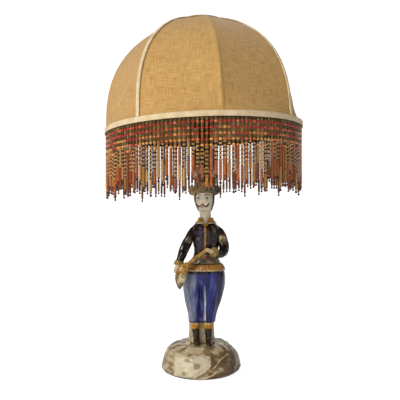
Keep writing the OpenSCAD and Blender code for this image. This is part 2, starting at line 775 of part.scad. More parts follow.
// Foot of the cloth, which turns down over the rim's wire
cloth_foot = z_rim - rim_wire / 2 - 2.8;
cloth_in = rim_r + rim_wire / 2 + touch + slack;
function skirt(t, z, r) = r * from_front(t) + [0, 0, z];
function flare(h) = (cloth_in - rib_r - rib_wire / 2 - touch) * exp(-h / flare_h);
module cloth_strip(t0, t1, parts, d_in, d_out, r_in, r_out) {
    angles = [for (k = [0 : parts]) t0 + (t1 - t0) * k / parts];
    back = [for (k = [parts : -1 : 0]) t0 + (t1 - t0) * k / parts];
    skin(concat(
        [for (z = [cloth_foot, z_rim + rim_wire / 2])
            concat([for (t = angles) skirt(t, z, r_out)], [for (t = back) skirt(t, z, r_in)])],
        [for (i = [0 : rib_steps])
            concat([for (t = angles) cloth_at(t, i, d_out)], [for (t = back) cloth_at(t, i, d_in)])]
    ), strip = true);
}
seam_gap = 0.03;
module cloth_panel(k) {
    t0 = rib_turn - bay + k * 2 * bay;
    low = rib_wire / 2 + touch;
    color("tan") leaning() cloth_strip(t0 + seam_gap, t0 + 2 * bay - seam_gap, 2 * bay_parts,
        low, low + cloth_t, cloth_in, cloth_in + cloth_t);
}
module cloth_panel_1() { cloth_panel(0); }
module cloth_panel_2() { cloth_panel(1); }
module cloth_panel_3() { cloth_panel(2); }
module cloth_panel_4() { cloth_panel(3); }

// Braid over every second rib, round the rim and round the top
braid_in = cloth_in + cloth_t + touch;
z_braid = cloth_foot - touch;
function braid_at(i, d) =
    let (p = rib_out(i, d))
    [p[0] + flare(p[1]), 0, z_rim + p[1]];
module rib_braids() {
    low = rib_wire / 2 + 5 * touch + cloth_t;
    fold = 0.8;
    half = rib_braid_w / 2;
    color("cornsilk") leaning() for (k = [0 : panels - 1])
        rotate([0, 0, rib_turn - bay + k * 2 * bay - 90])
            difference() {
                skin([for (i = [0 : rib_steps])
                    let (a = braid_at(i, low), b = braid_at(i, low + braid_t))
                    [b - [fold, half, 0], b, b + [-fold, half, 0],
                        a + [-fold, half, 0], a, a - [fold, half, 0]]],
                    strip = true);
                translate([0, 0, z_braid - 5])
                    cylinder(r = rim_d, h = rim_braid_w + 5 + touch);
                translate([0, 0, z_rim])
                    cylinder(r = top_r + 2 + touch, h = dome_h);
            }
}
module rim_braid() {
    color("cornsilk") leaning() ring(braid_in + braid_t, braid_in, z_braid, z_braid + rim_braid_w);
}
module top_braid() {
    p = rib_out(rib_steps, rib_wire / 2 + 2 * touch + cloth_t);
    color("cornsilk") leaning()
        ring(top_r + 2, top_r - rib_braid_w, z_rim + p[1] + touch, z_rim + p[1] + touch + braid_t);
}

// Fringe: eight stretches of tape, each with its strands
tape_r = rim_r + rim_wire / 2 - 1.2;
tape_top = z_rim - rim_wire / 2 - touch;
tape_t = 1.2;
vees = 3;
// Strand n hangs in a zigzag of vees with a smaller uneven part
function hang(n) =
    let (turn = n * vees / strands,
        vee = abs(2 * (turn - floor(turn)) - 1),
        uneven = 0.5 + 0.5 * sin(n * 137.5))
    strand_short + (strand_long - strand_short) * (0.55 * vee + 0.45 * uneven);
// The strands hang plumb from the leaning tape
function leaned(p) =
    let (up = p[2] - z_seat)
    [tube_x + p[0] * cos(lean) - up * sin(lean), p[1], z_seat + p[0] * sin(lean) + up * cos(lean)];
module fringe(k) {
    edge = 0.05;
    color("sienna") {
        leaning() rotate([0, 0, k * bay - 90 + edge]) rotate_extrude(angle = bay - 2 * edge)
            translate([tape_r - tape_t / 2, tape_top - tape_h]) square([tape_t, tape_h]);
        for (s = [0 : strands - 1]) {
            n = k * strands + s;
            turn = k * bay + (s + 0.5) * bay / strands;
            translate(leaned(tape_r * from_front(turn) + [0, 0, tape_top - tape_h / 2]) - [0, 0, hang(n)])
                cylinder(d = bead_d, h = hang(n), $fn = 16);
        }
    }
}
module fringe_1() { fringe(0); }
module fringe_2() { fringe(1); }
module fringe_3() { fringe(2); }
module fringe_4() { fringe(3); }
module fringe_5() { fringe(4); }
module fringe_6() { fringe(5); }
module fringe_7() { fringe(6); }
module fringe_8() { fringe(7); }

felt_pad();
rock_base();
cord_bush();
leg_support();
right_boot();
left_boot();
right_sock();
left_sock();
trousers();
belt();
jacket();
jacket_placket();
collar();
right_arm();
right_cuff();
right_hand();
left_arm();
left_cuff();
left_hand();
lute_body();
lute_neck();
head();
hair();
hat();
lamp_tube();
bottom_washer();
bottom_nut();
brass_cap();
brass_cup();
holder_cap();
holder_shell();
holder_insert();
holder_screw_shell();
holder_contact();
terminal_screws();
lower_ring_nut();
upper_ring_nut();
bulb_cap();
bulb_glass();
shade_carrier();
rim_ring();
top_ring();
shade_ribs();
cloth_panel_1();
cloth_panel_2();
cloth_panel_3();
cloth_panel_4();
rib_braids();
rim_braid();
top_braid();
fringe_1();
fringe_2();
fringe_3();
fringe_4();
fringe_5();
fringe_6();
fringe_7();
fringe_8();
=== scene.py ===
# %% [markdown]
# # A majolica table lamp
# A glazed pottery figure with a lute stands on a rock. A brass column rises from
# its hat, and carries a lampholder, a bulb and a cloth dome shade with a fringe
# of glass beads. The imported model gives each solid's place and the joints. This
# lesson dresses it: clay is modelled and painted, cloth woven, beads strung.

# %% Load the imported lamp
import json
import math

import bmesh
import bpy
import numpy as np
from mathutils import Matrix, Vector


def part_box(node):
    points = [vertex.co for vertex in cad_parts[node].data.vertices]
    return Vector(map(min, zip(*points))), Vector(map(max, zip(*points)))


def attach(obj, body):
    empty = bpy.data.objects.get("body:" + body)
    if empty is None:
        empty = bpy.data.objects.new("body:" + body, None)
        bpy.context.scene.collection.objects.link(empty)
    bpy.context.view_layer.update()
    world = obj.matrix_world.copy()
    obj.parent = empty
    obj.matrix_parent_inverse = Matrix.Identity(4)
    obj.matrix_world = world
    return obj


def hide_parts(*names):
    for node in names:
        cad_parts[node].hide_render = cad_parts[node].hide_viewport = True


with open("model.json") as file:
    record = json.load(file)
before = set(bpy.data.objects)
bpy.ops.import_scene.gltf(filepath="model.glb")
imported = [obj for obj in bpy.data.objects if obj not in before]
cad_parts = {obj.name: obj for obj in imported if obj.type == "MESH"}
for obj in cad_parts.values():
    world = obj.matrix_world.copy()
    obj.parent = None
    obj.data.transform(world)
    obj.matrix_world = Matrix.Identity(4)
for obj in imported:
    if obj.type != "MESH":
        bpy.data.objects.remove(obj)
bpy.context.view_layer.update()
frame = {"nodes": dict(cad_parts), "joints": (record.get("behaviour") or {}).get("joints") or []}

MM = 0.001

# %% [markdown]
# Everything above the hat leans a little to the left, about a point in the hat.
# The shade's joint holds that point and the leaning axis, so both are read from
# there. Shapes are worked out standing upright, and are leaned at the end.

# %% The leaning axis
turn = frame["joints"][0]
pivot = Vector(turn["pos_m"])
tilt = Vector((0, 0, 1)).rotation_difference(Vector(turn["axis"]))
LEAN = (Matrix.Translation(pivot) @ tilt.to_matrix().to_4x4()
        @ Matrix.Translation((0, 0, -pivot.z)))


def moved(points, matrix):
    """Points, an array of rows, after a 4 by 4 matrix."""
    m = np.array(matrix)
    return np.asarray(points, float) @ m[:3, :3].T + m[:3, 3]


def leaned(ways):
    """Directions, an array of rows, turned as the shade leans."""
    return ways @ np.array(LEAN)[:3, :3].T


def read(mesh, field="co"):
    """The points of a mesh, or its outward directions for the field vector."""
    source = mesh.vertices if field == "co" else mesh.vertex_normals
    out = np.empty(len(mesh.vertices) * 3, np.float32)
    source.foreach_get(field, out)
    return out.reshape(-1, 3).astype(float)


def upright_box(node):
    """Lowest and highest corner of a solid, after its lean is taken out."""
    co = moved(read(frame["nodes"][node].data), LEAN.inverted())
    return co.min(0), co.max(0)


print("lean:", round(math.degrees(tilt.angle), 2), "degrees")

# %% [markdown]
# The photograph was taken from about a metre away, at the height of the figure's
# face, with a level camera. A small vertical shift frames it as the picture does.

# %% Camera
EYE = Vector((-0.001, -1.040, 0.321))
camera = bpy.data.objects.new("camera", bpy.data.cameras.new("camera"))
bpy.context.scene.collection.objects.link(camera)
camera.location = EYE
camera.rotation_euler = (math.pi / 2, 0, 0)
LENS = 46.8
SHIFT_UP = 0.02
camera.data.lens = LENS
camera.data.shift_y = SHIFT_UP
camera.data.clip_start = 0.05
bpy.context.scene.camera = camera

# %% [markdown]
# Plain soft light: a strong lamp high on the left, a wide weak one on the right,
# a low one in front, and a pale world. The floor and the backdrop are one pale
# sheet that the camera sees as white, and it keeps the lamp's shadow.

# %% Light
scene = bpy.context.scene
scene.view_settings.view_transform = "Standard"
MID_HEIGHT = 0.36
WARM = (1.0, 0.95, 0.87)
ROOM_LIGHT = 0.30
PAPER_WHITE = (1, 1, 1, 1)


def soft_lamp(name, place, size, power):
    """A square area lamp that looks at the middle of the lamp."""
    light = bpy.data.lights.new(name, "AREA")
    light.size = size
    light.energy = power
    light.color = WARM
    lamp = bpy.data.objects.new(name, light)
    scene.collection.objects.link(lamp)
    lamp.location = place
    aim = Vector((0, 0, MID_HEIGHT)) - Vector(place)
    lamp.rotation_euler = aim.to_track_quat("-Z", "Y").to_euler()


soft_lamp("window", (-1.6, -1.6, 1.3), 0.7, 37)
soft_lamp("room", (1.8, -1.1, 0.9), 1.4, 4.5)
soft_lamp("table_side", (-0.2, -1.6, 0.25), 1.0, 4)

# %% [markdown]
# Finishes and repeating parts are trees of nodes. The helpers below add a node by
# its kind, and set or link its inputs, so that each finish reads as a recipe.

# %% Helpers for node trees
def srgb(r, g, b):
    """A colour as picked from a screen, as Blender's linear colour."""
    def one(v):
        v = v / 255
        return v / 12.92 if v <= 0.04045 else ((v + 0.055) / 1.055) ** 2.4
    return (one(r), one(g), one(b), 1.0)


def grey(v):
    return (v, v, v, 1.0)


class Tree:
    """A node tree. A value is a number, a colour, a socket or a node, whose first
    output is meant, or a list of them."""
    prefix = "ShaderNode"

    def __init__(self, tree):
        self.tree = tree

    def put(self, socket, value):
        for one in value if isinstance(value, list) else [value]:
            if isinstance(one, bpy.types.Node):
                one = one.outputs[0]
            if isinstance(one, bpy.types.NodeSocket):
                self.tree.links.new(one, socket)
            else:
                socket.default_value = one

    def node(self, kind, settings=None, slots=(), **inputs):
        """A node, its settings, and its inputs by number or by name."""
        made = self.tree.nodes.new(kind if "Node" in kind else self.prefix + kind)
        for label, value in (settings or {}).items():
            setattr(made, label, value)
        for slot, value in enumerate(slots):
            self.put(made.inputs[slot], value)
        for label, value in inputs.items():
            self.put(made.inputs[label.replace("_", " ")], value)
        return made

    def maths(self, how, a, b=0.0):
        return self.node("ShaderNodeMath", {"operation": how}, (a, b))


class Finish(Tree):
    """A material built node by node."""

    def __init__(self, name, **sockets):
        self.material = bpy.data.materials.new(name)
        self.material.use_nodes = True
        super().__init__(self.material.node_tree)
        self.shader = self.tree.nodes["Principled BSDF"]
        for label, value in sockets.items():
            self.put(self.shader.inputs[label.replace("_", " ")], value)

    def attribute(self, name):
        return self.node("Attribute", {"attribute_name": name})

    def places(self, scale=(1, 1, 1)):
        """Object coordinates in metres, stretched by scale."""
        where = self.node("TexCoord").outputs["Object"]
        return self.node("Mapping", Vector=where, Scale=scale)

    def speckle(self, where, scale, detail=3.0, rough=0.5):
        return self.node("TexNoise", Vector=where, Scale=scale, Detail=detail,
                         Roughness=rough)

    def blend(self, *parts):
        """The sum of values, each times its weight."""
        scaled = [self.maths("MULTIPLY", value, weight) for value, weight in parts]
        total = scaled[0]
        for one in scaled[1:]:
            total = self.maths("ADD", total, one)
        return total

    def ramp(self, fac, *stops):
        """Colours between stops (place, colour)."""
        made = self.node("ValToRGB", Fac=fac)
        band = made.color_ramp
        while len(band.elements) < len(stops):
            band.elements.new(0.5)
        for element, (place, colour) in zip(band.elements, stops):
            element.position = place
            element.color = colour
        return made

    def times(self, a, b):
        """One colour times another."""
        made = self.node("Mix", {"data_type": "RGBA", "blend_type": "MULTIPLY"}, (1.0,))
        colour_a, colour_b, result = 6, 7, 2
        self.put(made.inputs[colour_a], a)
        self.put(made.inputs[colour_b], b)
        return made.outputs[result]

    def spread(self, fac, low, high):
        """A value from 0 to 1 spread from low to high."""
        return self.node("MapRange", Value=fac, To_Min=low, To_Max=high)

    def bump(self, height, depth, strength=1.0):
        self.put(self.shader.inputs["Normal"],
                 self.node("Bump", Height=height, Distance=depth, Strength=strength))

    def colour(self, value):
        self.put(self.shader.inputs["Base Color"], value)

    def roughness(self, value):
        self.put(self.shader.inputs["Roughness"], value)


def grained(name, scale, detail, stops, rough=None, relief=None, blur=0.5, **sockets):
    """A finish whose colours, roughness and relief follow one fine noise."""
    f = Finish(name, **sockets)
    grain = f.speckle(f.places(), scale, detail, blur)
    f.colour(f.ramp(grain, *[(place, srgb(*pick)) for place, pick in stops]))
    if rough:
        f.roughness(f.spread(grain, *rough))
    if relief:
        depth, strength = relief
        f.bump(grain, depth * MM, strength)
    return f.material


# %% World, floor and backdrop
def pale_world():
    """A weak even glow, which the camera sees as white."""
    scene.world = bpy.data.worlds.new("room_light")
    scene.world.use_nodes = True
    air = Tree(scene.world.node_tree)
    glow = air.tree.nodes["Background"]
    air.put(glow.inputs["Color"], PAPER_WHITE)
    air.put(glow.inputs["Strength"], ROOM_LIGHT)
    white = air.node("Background", Color=PAPER_WHITE)
    seen = air.node("LightPath").outputs["Is Camera Ray"]
    pick = air.node("MixShader", None, (seen, glow, white))
    air.put(air.tree.nodes["World Output"].inputs["Surface"], pick)


def studio_floor():
    """A pale floor that rises into a backdrop. The camera sees it white."""
    profile = [(-6, 0), (2.2, 0), (2.8, 0.15), (3.1, 0.6), (3.2, 4.5)]
    points = [(x, y, z) for y, z in profile for x in (-7, 7)]
    faces = [(2 * i, 2 * i + 1, 2 * i + 3, 2 * i + 2) for i in range(len(profile) - 1)]
    mesh = bpy.data.meshes.new("studio_floor")
    mesh.from_pydata(points, [], faces)
    mesh.shade_smooth()
    floor = bpy.data.objects.new("studio_floor", mesh)
    scene.collection.objects.link(floor)
    pale = Finish("pale_floor", Base_Color=grey(0.78), Roughness=0.9)
    rays = pale.node("LightPath").outputs
    seen = pale.maths("MAXIMUM", rays["Is Camera Ray"],
                      pale.maths("MAXIMUM", rays["Is Glossy Ray"],
                                 rays["Is Transmission Ray"]))
    glow = pale.node("Emission", Color=PAPER_WHITE, Strength=0.8)
    both = pale.node("AddShader", None, (pale.shader, glow))
    pick = pale.node("MixShader", None, (seen, pale.shader, both))
    pale.put(pale.tree.nodes["Material Output"].inputs["Surface"], pick)
    mesh.materials.append(pale.material)


pale_world()
studio_floor()

# %% [markdown]
# A few helpers make meshes. A net of points in rows and columns becomes faces, a
# profile is turned as on a lathe, and a Geometry Nodes tree is turned into a
# plain mesh. `dress` gives a finished piece its material and body.

# %% Helpers for meshes
def net(rows, cols, around=False, closed=False):
    """Faces between the points of a net; around joins its sides, closed its ends."""
    i = np.arange(rows if closed else rows - 1)[:, None]
    j = np.arange(cols if around else cols - 1)[None, :]
    up, over = (i + 1) % rows, (j + 1) % cols
    return np.stack([i * cols + j, i * cols + over, up * cols + over,
                     up * cols + j], -1).reshape(-1, 4)


def add_object(name, points, faces, edges=()):
    """A new object at the origin with its place in its mesh."""
    mesh = bpy.data.meshes.new(name)
    mesh.from_pydata(np.asarray(points).tolist(), list(edges),
                     faces.tolist() if isinstance(faces, np.ndarray) else faces)
    obj = bpy.data.objects.new(name, mesh)
    scene.collection.objects.link(obj)
    return obj


def settled(obj):
    """The object with its modifiers' result as a plain mesh."""
    graph = bpy.context.evaluated_depsgraph_get()
    mesh = bpy.data.meshes.new_from_object(
        obj.evaluated_get(graph), preserve_all_data_layers=True, depsgraph=graph)
    obj.modifiers.clear()
    obj.data = mesh
    mesh.name = obj.name
    return obj


def give(obj, label, values, kind):
    """Stores one value for each point under a name."""
    field = {"FLOAT": "value", "INT": "value", "BOOLEAN": "value",
             "FLOAT_VECTOR": "vector", "FLOAT_COLOR": "color"}[kind]
    layer = obj.data.attributes.new(label, kind, "POINT")
    layer.data.foreach_set(field, np.asarray(values).ravel())


def dress(obj, body, material=None, replaced=(), sharp=None):
    """Material, shading and body of a finished piece."""
    if material:
        obj.data.materials.clear()
        obj.data.materials.append(material)
    obj.data.shade_smooth()
    if sharp:
        obj.data.set_sharp_from_angle(angle=math.radians(sharp))
    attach(obj, body)
    if replaced:
        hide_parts(*replaced)
    print(obj.name, len(obj.data.polygons), "faces on", body)
    return obj


def turned(name, profile, sides=96, closed=True):
    """A body of revolution about the leaning axis. Profile rows are radius, height,
    and run anticlockwise: up on the outside, down on the inside."""
    profile = np.asarray(profile, float)
    t = np.linspace(0, 2 * math.pi, sides, endpoint=False)
    ring = np.stack([np.cos(t), np.sin(t)], -1)
    points = np.concatenate([
        np.column_stack([r * ring, np.full(sides, h)]) for r, h in profile])
    return add_object(name, moved(points, LEAN),
                      net(len(profile), sides, around=True, closed=closed))


def grown(name, tree, points, faces=(), edges=(), layers=(), settings=None):
    """Runs a Geometry Nodes tree on a mesh, and keeps the result as a plain mesh."""
    obj = add_object(name, points, faces, edges)
    for label, values, kind in layers:
        give(obj, label, values, kind)
    modifier = obj.modifiers.new(tree.name, "NODES")
    modifier.node_group = tree
    for item in tree.interface.items_tree:
        if item.in_out == "INPUT" and item.name in (settings or {}):
            modifier[item.identifier] = settings[item.name]
    return settled(obj)


class Recipe(Tree):
    """A Geometry Nodes tree built node by node."""
    prefix = "GeometryNode"

    def __init__(self, name, **inputs):
        super().__init__(bpy.data.node_groups.new(name, "GeometryNodeTree"))
        self.tree.is_modifier = True
        face = self.tree.interface
        face.new_socket("Geometry", in_out="INPUT", socket_type="NodeSocketGeometry")
        for label, value in inputs.items():
            kind = "NodeSocketInt" if isinstance(value, int) else "NodeSocketFloat"
            face.new_socket(label.replace("_", " "), in_out="INPUT",
                            socket_type=kind).default_value = value
        face.new_socket("Geometry", in_out="OUTPUT", socket_type="NodeSocketGeometry")
        self.inputs = self.tree.nodes.new("NodeGroupInput").outputs
        self.last = self.tree.nodes.new("NodeGroupOutput")

    def layer(self, label, kind="FLOAT"):
        made = self.node("InputNamedAttribute", {"data_type": kind}, Name=label)
        return made.outputs["Attribute"]

    def vectors(self, how, a, b=(0, 0, 0)):
        made = self.node("ShaderNodeVectorMath", {"operation": how}, (a,))
        self.put(made.inputs["Scale" if how == "SCALE" else 1], b)
        return made

    def finish(self, parts, material):
        """Real faces with their material: the export drops instances."""
        whole = self.node("JoinGeometry", Geometry=parts)
        real = self.node("RealizeInstances", Geometry=whole)
        done = self.node("SetMaterial", Geometry=real, Material=material)
        self.put(self.last.inputs[0], done)
        return self.tree


# %% [markdown]
# ## The shade's shape
# Eight ribs of wire follow a curve between a quarter circle and a square corner,
# a super-ellipse. Two powers set how square it is. The cloth is drawn flat from
# rib to rib, as a tent's is, and goes round only near the rim. The ribs' feet,
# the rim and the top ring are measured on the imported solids.

# %% Curve of the ribs
CLOTH_T = 1.0 * MM
TOUCH = 0.2 * MM
RIB_POWERS = (1.74, 2.6)
DOME_RISE = 218 * MM
FIRST_RIB = 9.0
BAY = 45.0
FLAT_BY = 22 * MM
FLARE_BY = 8 * MM

rim_low, rim_high = upright_box("rim_ring")
rim_wire = rim_high[2] - rim_low[2]
Z_RIM = (rim_low[2] + rim_high[2]) / 2
RIM_R = rim_high[1] - rim_wire / 2
top_low, top_high = upright_box("top_ring")
rib_wire = top_high[2] - top_low[2]
TOP_R = top_high[1] + rib_wire / 2
# The braid round the rim gives the cloth's inner radius there
band_low, band_high = upright_box("rim_braid")
BRAID_T = 1.2 * MM
BRAID_IN = band_high[1] - BRAID_T
CLOTH_IN = BRAID_IN - TOUCH - CLOTH_T
DOME_R = 382 * MM / 2
RIB_R = DOME_R - CLOTH_T - TOUCH - rib_wire / 2


def rib_curve(a):
    """Radius and height over the rim's wire at angle a of the super-ellipse."""
    return np.stack([RIB_R * np.cos(a) ** (2 / RIB_POWERS[0]),
                     DOME_RISE * np.sin(a) ** (2 / RIB_POWERS[1])], -1)


TOP_A = math.acos((TOP_R / RIB_R) ** (RIB_POWERS[0] / 2))
FOOT_A = math.radians(0.12)


def along_rib(steps, out):
    """Stations on a rib, moved out at right angles to it: rows radius, height."""
    a = FOOT_A + (TOP_A - FOOT_A) * np.linspace(0, 1, steps) ** 1.6
    step = math.radians(0.05)
    way = rib_curve(a + step) - rib_curve(a - step)
    way /= np.linalg.norm(way, axis=1)[:, None]
    return rib_curve(a) + out * np.stack([way[:, 1], -way[:, 0]], -1)


def flare(height):
    """How much further out the cloth stands near the rim, to pass over its wire."""
    return (CLOTH_IN - RIB_R - rib_wire / 2 - TOUCH) * np.exp(-height / FLARE_BY)


def round_from_front(t):
    """Directions at angles t, in degrees from the front towards the right."""
    t = np.radians(t)
    return np.stack([np.sin(t), -np.cos(t), np.zeros_like(t)], -1)


def cloth_net(angles, steps, out):
    """The cloth's middle surface: an array steps by angles by 3, upright."""
    rib = along_rib(steps, out)
    height = rib[:, 1][:, None]
    from_mid = np.mod(angles - FIRST_RIB, BAY) - BAY / 2
    flat = math.cos(math.radians(BAY / 2)) / np.cos(np.radians(from_mid))[None, :]
    share = 1 - np.exp(-height / FLAT_BY)
    radius = (rib[:, 0][:, None] + flare(height)) * (1 - share + share * flat)
    way = round_from_front(angles)
    points = radius[..., None] * way[None]
    points[..., 2] = Z_RIM + height
    return points


print("ribs from radius", round(RIB_R, 4), "to", round(TOP_R, 4))


# %% [markdown]
# ## Cloth
# Four panels of straw-coloured cloth are drawn over the frame. Each panel is two
# gores joined by a narrow lapped seam on a rib. The cloth's threads are uneven:
# thick and thin yarns show as faint streaks along and across. Its own UV map, in
# metres, lets the weave follow each gore as it was cut.

# %% Woven cloth and braid finishes
def woven_straw():
    cloth = Finish("woven_straw", Roughness=0.82, Sheen_Weight=0.25,
                   Sheen_Roughness=0.5, Specular_IOR_Level=0.25)
    uv = cloth.node("UVMap", {"uv_map": "cloth"})

    def yarns(scale, detail):
        return cloth.speckle(cloth.node("Mapping", Vector=uv, Scale=scale), 1.0, detail)

    warp = yarns((900, 48, 1), 2.0)
    weft = yarns((48, 900, 1), 2.0)
    slub = yarns((150, 22, 1), 3.0)
    cross_slub = yarns((20, 150, 1), 3.0)
    cloud = yarns((14, 11, 1), 2.0)
    tone = cloth.blend((warp, 0.4), (weft, 0.4), (slub, 0.07), (cross_slub, 0.07),
                       (cloud, 0.06))
    cloth.colour(cloth.ramp(tone, (0.38, srgb(166, 124, 66)),
                            (0.47, srgb(189, 148, 86)), (0.53, srgb(199, 159, 96)),
                            (0.62, srgb(212, 174, 112))))
    thread = 0.8 * MM
    lines = cloth.node("Mapping", Vector=uv,
                       Scale=(math.pi / thread, math.pi / thread, 1))
    split = cloth.node("SeparateXYZ", Vector=lines).outputs
    over = cloth.maths("MULTIPLY", cloth.maths("SINE", split["X"]),
                       cloth.maths("SINE", split["Y"]))
    height = cloth.maths("ADD", cloth.maths("MULTIPLY", over, 0.35), tone)
    cloth.bump(height, 0.35 * MM, 0.7)
    return cloth.material


def cream_braid():
    braid = Finish("cream_braid", Roughness=0.75, Sheen_Weight=0.3,
                   Specular_IOR_Level=0.3)
    fine = braid.speckle(braid.places(), 900.0, 3.0)
    broad = braid.speckle(braid.places(), 60.0, 3.0)
    tone = braid.blend((fine, 0.5), (broad, 0.5))
    braid.colour(braid.ramp(tone, (0.34, srgb(196, 172, 130)),
                            (0.5, srgb(222, 201, 163)), (0.66, srgb(234, 217, 184))))
    braid.bump(fine, 0.3 * MM, 0.6)
    return braid.material


STRAW = woven_straw()
CREAM = cream_braid()

# %% Four cloth panels
# The gap between two panels, in degrees, and the lap of a seam
SEAM_GAP = 0.03
LAP = 2.6 * MM
LAP_RISE = 0.45 * MM
mid_out = rib_wire / 2 + TOUCH + CLOTH_T / 2
skirt_low = upright_box("cloth_panel_1")[0][2]


def panel_angles(start):
    """Columns of a panel, closer together beside the lapped seam on its middle rib."""
    middle = start + BAY
    lap = math.degrees(LAP / RIB_R)
    near = middle + lap * np.array([-1.25, -1.0, -0.5, 0, 0.5, 1.0, 1.25])
    left = np.linspace(start + SEAM_GAP, near[0] - 1.2, 30)
    right = np.linspace(near[-1] + 1.2, start + 2 * BAY - SEAM_GAP, 30)
    return np.concatenate([left, near, right]), middle


def cloth_panel(k):
    name = f"cloth_panel_{k + 1}"
    start = FIRST_RIB - BAY + k * 2 * BAY
    angles, middle = panel_angles(start)
    points = cloth_net(angles, 64, mid_out)
    reach = np.linalg.norm(points[..., :2], axis=-1)
    across = reach * np.radians(angles - middle)[None, :]
    lap = np.clip((1.25 * LAP - np.abs(across)) / (0.25 * LAP), 0, 1) * LAP_RISE
    # The lapped seam stands out a little over the middle rib
    points[..., :2] *= (1 + lap / reach)[..., None]
    foot_r = CLOTH_IN + CLOTH_T / 2
    skirt = [foot_r * round_from_front(angles) + (0, 0, z)
             for z in np.linspace(skirt_low, Z_RIM + rim_wire / 2, 4)]
    points = np.concatenate([np.array(skirt), points])
    rows, cols = points.shape[:2]
    run = np.linalg.norm(np.diff(points, axis=0), axis=-1)
    up = np.concatenate([np.zeros((1, cols)), np.cumsum(run, axis=0)])
    panel = add_object(name + "_cloth", moved(points.reshape(-1, 3), LEAN),
                       net(rows, cols))
    # Each gore's weave is straight along its own middle
    mesh = panel.data
    corner = np.empty(len(mesh.loops), int)
    mesh.loops.foreach_get("vertex_index", corner)
    column = corner % cols
    face_mid = np.repeat(column.reshape(-1, 4).mean(1), 4)
    gore_mid = np.where(face_mid < np.searchsorted(angles, middle) - 0.1,
                        start + BAY / 2, start + 1.5 * BAY)
    reach = np.linalg.norm(points[..., :2], axis=-1).ravel()[corner]
    u = reach * np.radians(angles[column] - gore_mid) + k + 0.4 * (gore_mid > middle)
    uv = mesh.uv_layers.new(name="cloth")
    uv.data.foreach_set("uv", np.stack([u, up.ravel()[corner]], -1).ravel())
    solid = panel.modifiers.new("thickness", "SOLIDIFY")
    solid.thickness = 0.9 * CLOTH_T
    solid.offset = 0
    settled(panel)
    dress(panel, "shade", STRAW, [name], sharp=50)


PANELS = 4
for k in range(PANELS):
    cloth_panel(k)

# %% [markdown]
# ## Braid
# A woven cream braid hides the rim, the open top and every second rib. Each braid
# is a thin band, covered with columns of slanting stitches that lean to the left
# and to the right in turn. A Geometry Nodes tree walks along the braid's path and
# sets the stitches at a fixed pitch, so one tree makes every braid.


# %% The braid's tree
def braid_recipe():
    r = Recipe("braid", Pitch=0.0026, Columns=3, Column_Width=0.0036,
               Stitch_Thickness=0.0011, Slant=0.6)
    path = r.node("SeparateGeometry", Geometry=r.inputs["Geometry"],
                  Selection=r.layer("is_path", "BOOLEAN"))
    points = r.node("CurveToPoints", {"mode": "LENGTH"},
                    Curve=r.node("MeshToCurve", Mesh=path), Length=r.inputs["Pitch"])
    kept = r.node("CaptureAttribute", Geometry=points)
    kept.capture_items.new("VECTOR", "way")
    r.put(kept.inputs["way"], points.outputs["Tangent"])
    way = kept.outputs["way"]
    copies = r.node("DuplicateElements", {"domain": "POINT"},
                    Geometry=kept, Amount=r.inputs["Columns"])
    index = copies.outputs["Duplicate Index"]
    outward = r.layer("outward", "FLOAT_VECTOR")
    side = r.vectors("CROSS_PRODUCT", outward, way)
    middle = r.maths("MULTIPLY", r.maths("SUBTRACT", r.inputs["Columns"], 1.0), 0.5)
    place = r.maths("MULTIPLY", r.maths("SUBTRACT", index, middle),
                    r.inputs["Column Width"])
    odd = r.maths("MODULO", index, 2.0)
    slip = r.maths("MULTIPLY", r.maths("MULTIPLY", odd, 0.5), r.inputs["Pitch"])
    shift = r.vectors("ADD", r.vectors("SCALE", side, place),
                      r.vectors("SCALE", way, slip))
    spots = r.node("SetPosition", Geometry=copies, Offset=shift)
    axes = r.node("FunctionNodeAxesToRotation",
                  {"primary_axis": "Z", "secondary_axis": "X"},
                  Primary_Axis=way, Secondary_Axis=outward)
    lean = r.maths("MULTIPLY", r.inputs["Slant"],
                   r.maths("SUBTRACT", r.maths("MULTIPLY", odd, 2.0), 1.0))
    twist = r.node("ShaderNodeCombineXYZ", X=lean)
    turned_way = r.node("FunctionNodeRotateRotation", {"rotation_space": "LOCAL"},
                        (axes, twist))
    stitch = r.node("MeshUVSphere", Segments=8, Rings=4, Radius=0.5)
    size = r.node("ShaderNodeCombineXYZ", X=r.inputs["Stitch Thickness"],
                  Y=r.maths("MULTIPLY", r.inputs["Column Width"], 1.35),
                  Z=r.maths("MULTIPLY", r.inputs["Pitch"], 0.8))
    sewn = r.node("InstanceOnPoints", Points=spots, Instance=stitch,
                  Rotation=turned_way, Scale=size)
    return r.finish([path.outputs["Inverted"], sewn], CREAM)


BRAID = braid_recipe()


